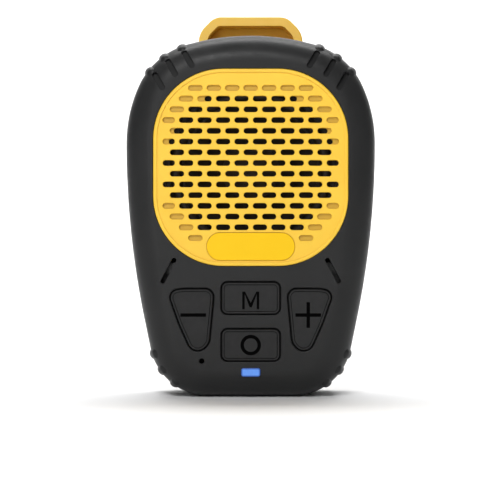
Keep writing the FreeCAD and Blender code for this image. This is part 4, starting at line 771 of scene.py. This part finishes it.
@dataclass
class KeyPanel:
    """Four keys with black signs, their mat, switches, lamp and microphone."""

    sign_sink_mm: float = 0.07
    sign_depth_mm: float = 0.148
    stroke_mm: float = 0.95
    bar_mm: float = 7.0
    ring_radius_mm: float = 2.8
    ring_stroke_mm: float = 0.95
    letter_mm: tuple[float, float] = (4.6, 4.8)
    letter_stroke_mm: float = 0.65
    letter_drop_mm: float = 0.6
    letter_shoulder: float = 1.15                       # top of each leg, in strokes
    letter_notch: float = 0.55                          # share of the half height, as is the next
    letter_inside: float = 0.72
    letter_tip: tuple[float, float] = (0.45, 0.78)      # half width in strokes, then share of half height
    ring_steps: int = 96
    felt_inset_mm: float = 0.15
    felt_profile: Sequence[tuple[float, float]] = ((1.0, 0.0), (1.0, 0.12), (0.9, 0.2), (0.5, 0.24))
    felt_steps: int = 48

    def centre(self, sign: Sign) -> tuple[float, float]:
        """Where a sign lies across and up its key, in millimetres: over the key's plunger."""
        low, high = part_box(f"plunger_{sign.value}")
        drop = self.letter_drop_mm if sign is Sign.LETTER_M else 0.0
        return (low.x + high.x) / 2 / MM, (low.z + high.z) / 2 / MM - drop

    def outline(self, sign: Sign) -> list[list[tuple[float, float]]]:
        """The closed loops of a sign, in millimetres about its centre.

        Args:
            sign: the mark.

        Returns:
            One loop, or for the ring its outer and inner loop.
        """
        half, bar = self.stroke_mm / 2, self.bar_mm / 2
        if sign is Sign.MINUS:
            return [[(-bar, -half), (bar, -half), (bar, half), (-bar, half)]]
        if sign is Sign.PLUS:
            return [[(-bar, -half), (-half, -half), (-half, -bar), (half, -bar), (half, -half),
                     (bar, -half), (bar, half), (half, half), (half, bar), (-half, bar),
                     (-half, half), (-bar, half)]]
        if sign is Sign.RING:
            loops = []
            for radius in (self.ring_radius_mm, self.ring_radius_mm - self.ring_stroke_mm):
                loops.append([(radius * math.cos(turn), radius * math.sin(turn))
                              for turn in circle(self.ring_steps)])
            return loops
        wide, tall, stroke = self.letter_mm[0] / 2, self.letter_mm[1] / 2, self.letter_stroke_mm
        leg, shoulder = wide - stroke, wide - stroke * self.letter_shoulder
        notch, inside = -tall * self.letter_notch + stroke, tall * self.letter_inside
        tip, low = stroke * self.letter_tip[0], -tall * self.letter_tip[1]
        return [[(-wide, -tall), (-wide, tall), (-shoulder, tall), (0, notch), (shoulder, tall),
                 (wide, tall), (wide, -tall), (leg, -tall), (leg, inside), (tip, low), (-tip, low),
                 (-leg, inside), (-leg, -tall)]]

    def make_sign(self, sign: Sign, paints: Paintbox) -> bpy.types.Object:
        """Fills a key's sunk sign with black paint, a little below the key's face.

        Args:
            sign: the mark.
            paints: the finishes.

        Returns:
            The paint's object.
        """
        key = f"key_{sign.value}"
        face_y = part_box(key)[0].y + self.sign_sink_mm * MM
        floor_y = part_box(key)[0].y + self.sign_depth_mm * MM
        cx, cz = self.centre(sign)
        mesh = bmesh.new()
        rims = []
        for loop in self.outline(sign):
            front = [mesh.verts.new(((cx + x) * MM, face_y, (cz + z) * MM)) for x, z in loop]
            back = [mesh.verts.new(((cx + x) * MM, floor_y, (cz + z) * MM)) for x, z in loop]
            rims.append((front, back))
            bridge(mesh, front, back)
        if sign is Sign.RING:
            for outer, inner in zip(*rims):
                bridge(mesh, outer, inner)
        else:
            mesh.faces.new(rims[0][0])
            mesh.faces.new(list(reversed(rims[0][1])))
        bmesh.ops.recalc_face_normals(mesh, faces=mesh.faces)
        return paints.finish_piece(mesh, f"sign_{sign.value}", SIGN_BLACK, f"{sign.value}_key",
                                   smooth=False)

    def make_felt(self, paints: Paintbox) -> bpy.types.Object:
        """Lays the felt disc on the microphone's front, slightly crowned.

        Args:
            paints: the finishes.

        Returns:
            The felt's object.
        """
        low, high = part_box("microphone")
        cx, cz = (low.x + high.x) / 2, (low.z + high.z) / 2
        radius = (high.x - low.x) / 2 - self.felt_inset_mm * MM
        mesh = bmesh.new()
        rings = []
        for share, lift_mm in self.felt_profile:
            rings.append([mesh.verts.new((cx + share * radius * math.cos(turn), low.y - lift_mm * MM,
                                          cz + share * radius * math.sin(turn)))
                          for turn in circle(self.felt_steps)])
        for outer, inner in zip(rings, rings[1:]):
            bridge(mesh, outer, inner)
        mesh.faces.new(rings[-1])
        mesh.faces.new(list(reversed(rings[0])))
        bmesh.ops.recalc_face_normals(mesh, faces=mesh.faces)
        return paints.finish_piece(mesh, "microphone_felt", FELT_BLACK, "housing")

    def dress(self, paints: Paintbox) -> None:
        """Gives the panel's nodes their finishes."""
        paints.dress(KEY_BLACK, [f"key_{sign.value}" for sign in Sign])
        paints.dress(SOCKET_BLACK, [f"plunger_{sign.value}" for sign in Sign])
        paints.dress(MAT_BLACK, ["keypad_mat"])
        paints.dress(LAMP_BLUE, ["led_lens"])
        paints.dress(CLEAR_RESIN, ["status_led"])
        paints.dress(DRAWN_CAN, ["microphone"])
        paints.dress(SOFT_BLACK, ["microphone_boot"])
        paints.dress(TINNED_STEEL, ["switch_bodies"])


@dataclass
class Electronics:
    """Main board with its components, sockets, battery and leads."""

    finishes: dict[str, Finish] = field(default_factory=lambda: {
        "main_board": BOARD_BLACK, "board_screws": SCREW_STEEL, "sound_chip": CHIP_RESIN,
        "amplifier_chip": CHIP_RESIN, "chip_components": CERAMIC, "capacitors": DRAWN_CAN,
        "inductor": FERRITE, "battery_socket": NYLON, "speaker_socket": NYLON, "battery_plug": NYLON,
        "speaker_plug": NYLON, "audio_jack": SOCKET_BLACK, "usb_socket": TINNED_STEEL,
        "battery_cell": POUCH_FOIL, "battery_pad": FOAM_BLACK, "battery_lead_red": LEAD_RED,
        "battery_lead_black": LEAD_BLACK, "speaker_lead_red": LEAD_RED, "speaker_lead_black": LEAD_BLACK})

    def dress(self, paints: Paintbox) -> None:
        """Gives each electronic node its finish."""
        for node, finish in self.finishes.items():
            paints.dress(finish, [node])


@dataclass
class Loudspeaker:
    """The driver behind the grille."""

    finishes: dict[str, Finish] = field(default_factory=lambda: {
        "speaker_frame": FRAME_COAT, "speaker_gasket": FOAM_BLACK, "surround": SURROUND_BLACK,
        "speaker_cone": CONE_PAPER, "dust_cap": DUST_CAP, "voice_coil": COPPER_WIRE,
        "spider": SPIDER_CLOTH, "top_plate": PLATED_STEEL, "magnet_ring": FERRITE, "yoke": PLATED_STEEL,
        "speaker_terminals": TAG_BOARD, "speaker_screws": SCREW_STEEL})

    def dress(self, paints: Paintbox) -> None:
        """Gives each loudspeaker node its finish."""
        for node, finish in self.finishes.items():
            paints.dress(finish, [node])


@dataclass
class BeltClip:
    """Yellow lever on a black bracket, with its pin and spring."""

    finishes: dict[str, Finish] = field(default_factory=lambda: {
        "clip_lever": CLIP_YELLOW, "clip_bracket": HOUSING_BLACK, "clip_pin": BRIGHT_STEEL,
        "clip_screws": SCREW_STEEL})
    coil_radius_mm: float = 2.0
    wire_radius_mm: float = 0.4
    pitch_mm: float = 0.95
    leg_mm: float = 7.5
    arm_mm: float = 14.5
    first_turn_deg: float = -86.0
    sweep_deg: float = 1607.0
    step_deg: float = 10.0
    leg_steps: int = 4
    arm_steps: int = 6

    def pin_middle(self) -> Vector:
        """Middle of the pin that the spring is wound round."""
        low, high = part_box("clip_pin")
        return (low + high) / 2

    def wire_place(self, turned_deg: float, along_mm: float = 0.0) -> Vector:
        """A place on the middle line of the spring's wire.

        Args:
            turned_deg: how far round the coil.
            along_mm: how far straight on from there, or back where it is negative.

        Returns:
            The place.
        """
        turn = math.radians(self.first_turn_deg + turned_deg)
        radial = Vector((0.0, math.sin(turn), -math.cos(turn)))
        ahead = Vector((0.0, math.cos(turn), math.sin(turn)))
        half = self.pitch_mm * self.sweep_deg / 360 / 2
        shift = Vector((self.pitch_mm * turned_deg / 360 - half, 0.0, 0.0))
        return self.pin_middle() + (shift + radial * self.coil_radius_mm + ahead * along_mm) * MM

    def spring_path(self) -> list[Vector]:
        """Middle line of the spring's wire: leg, turns round the pin, arm."""
        count = round(self.sweep_deg / self.step_deg)
        leg = [self.wire_place(0.0, -self.leg_mm * k / self.leg_steps) for k in range(self.leg_steps, 0, -1)]
        turns = [self.wire_place(self.sweep_deg * k / count) for k in range(count + 1)]
        arm = [self.wire_place(self.sweep_deg, self.arm_mm * k / self.arm_steps)
               for k in range(1, self.arm_steps + 1)]
        return leg + turns + arm

    def make_spring(self, paints: Paintbox) -> bpy.types.Object:
        """Winds the spring round the pin, with its leg and its arm.

        Args:
            paints: the finishes.

        Returns:
            The spring's object.
        """
        mesh = swept_wire(self.spring_path(), self.wire_radius_mm * MM)
        spring = paints.finish_piece(mesh, "spring_wound", SPRING_STEEL, None)
        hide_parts("clip_spring")
        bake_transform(spring)
        return spring

    def dress(self, paints: Paintbox) -> None:
        """Gives each clip node its finish."""
        for node, finish in self.finishes.items():
            paints.dress(finish, [node])


# ---------------------------------------------------------------- studio


@dataclass(frozen=True)
class Softbox:
    """One rectangular studio light."""

    name: str
    place: tuple[float, float, float]
    aim: tuple[float, float, float]
    size: tuple[float, float]
    power: float
    colour: tuple[float, float, float] = (1.0, 1.0, 1.0)

    def place_light(self) -> bpy.types.Object:
        """Puts the light in the scene, facing its aim."""
        data = bpy.data.lights.new(self.name, "AREA")
        data.shape = "RECTANGLE"
        data.size, data.size_y = self.size
        data.energy = self.power
        data.color = self.colour
        light = bpy.data.objects.new(self.name, data)
        bpy.context.scene.collection.objects.link(light)
        light.location = self.place
        direction = Vector(self.aim) - Vector(self.place)
        light.rotation_euler = direction.to_track_quat("-Z", "Y").to_euler()
        return light


@dataclass
class Studio:
    """Pale sweep, soft lights and the camera."""

    sweep_half_width: float = 2.0
    sweep_front: float = -1.1
    sweep_back: float = 1.1
    sweep_radius: float = 0.5
    sweep_height: float = 1.6
    sweep_steps: int = 24
    camera_place: tuple[float, float, float] = (-0.0002, -0.465, 0.04056)
    lens_mm: float = 118.6
    sensor_mm: float = 36.0
    seen_range: tuple[float, float] = (0.01, 20.0)
    lights: Sequence[Softbox] = (
        Softbox("top_box", (-0.1, -0.55, 0.46), (0.0, 0.0, 0.07), (0.3, 0.16), 2.75),
        Softbox("front_box", (-0.2, -0.9, 0.12), (0.0, 0.0, 0.05), (0.4, 0.4), 1.35),
        Softbox("back_box", (0.0, 0.45, 1.2), (0.0, 1.0, 0.1), (1.2, 0.6), 22.0),
    )
    world_strength: float = 0.06
    surroundings_seen: float = 0.85

    def build_sweep(self, paints: Paintbox) -> bpy.types.Object:
        """Makes the floor that curves up into the backdrop."""
        profile = [(self.sweep_front, 0.0), (self.sweep_back - self.sweep_radius, 0.0)]
        for k in range(1, self.sweep_steps + 1):
            turn = math.pi / 2 * k / self.sweep_steps
            profile.append((self.sweep_back - self.sweep_radius + self.sweep_radius * math.sin(turn),
                            self.sweep_radius * (1 - math.cos(turn))))
        profile.append((self.sweep_back, self.sweep_height))
        mesh = bmesh.new()
        rows = []
        for y, z in profile:
            rows.append([mesh.verts.new((side * self.sweep_half_width, y, z)) for side in (-1, 1)])
        for below, above in zip(rows, rows[1:]):
            mesh.faces.new((below[0], below[1], above[1], above[0]))
        sweep = mesh_object(mesh, "studio_sweep")
        paints.dress_piece(STUDIO_WHITE, sweep)
        return sweep

    def build_camera(self) -> bpy.types.Object:
        """Makes the camera, level, facing the grille."""
        data = bpy.data.cameras.new("camera")
        data.lens = self.lens_mm
        data.sensor_width = self.sensor_mm
        data.clip_start, data.clip_end = self.seen_range
        camera = bpy.data.objects.new("camera", data)
        bpy.context.scene.collection.objects.link(camera)
        camera.location = self.camera_place
        camera.rotation_euler = (math.pi / 2, 0.0, 0.0)
        bpy.context.scene.camera = camera
        return camera

    def build_world(self) -> None:
        """Makes the even surroundings: pale to look at, and dim as a light."""
        world = bpy.data.worlds.new("studio_world")
        bpy.context.scene.world = world
        world.use_nodes = True
        tree = world.node_tree
        background = tree.nodes["Background"]
        background.inputs["Color"].default_value = (1.0, 1.0, 1.0, 1.0)
        rays = tree.nodes.new("ShaderNodeLightPath")
        seen = tree.nodes.new("ShaderNodeMapRange")
        seen.inputs["To Min"].default_value = self.world_strength
        seen.inputs["To Max"].default_value = self.surroundings_seen
        tree.links.new(rays.outputs["Is Camera Ray"], seen.inputs["Value"])
        tree.links.new(seen.outputs["Result"], background.inputs["Strength"])

    def build(self, paints: Paintbox) -> None:
        """Makes everything round the object."""
        self.build_sweep(paints)
        self.build_camera()
        self.build_world()
        for light in self.lights:
            light.place_light()
        bpy.context.scene.view_settings.view_transform = "Standard"
        bpy.context.scene.view_settings.look = "None"


def main() -> None:
    """Builds the studio, then dresses the amplifier and adds the pieces made here."""
    logging.basicConfig(level=logging.INFO, format="%(name)s: %(message)s")
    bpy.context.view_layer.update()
    paints = Paintbox()
    Studio().build(paints)
    Housing().dress(paints)
    Grille().dress(paints)
    panel = KeyPanel()
    panel.dress(paints)
    for sign in Sign:
        panel.make_sign(sign, paints)
    panel.make_felt(paints)
    Electronics().dress(paints)
    Loudspeaker().dress(paints)
    belt_clip = BeltClip()
    belt_clip.dress(paints)
    belt_clip.make_spring(paints)


if __name__ == "__main__":
    main()
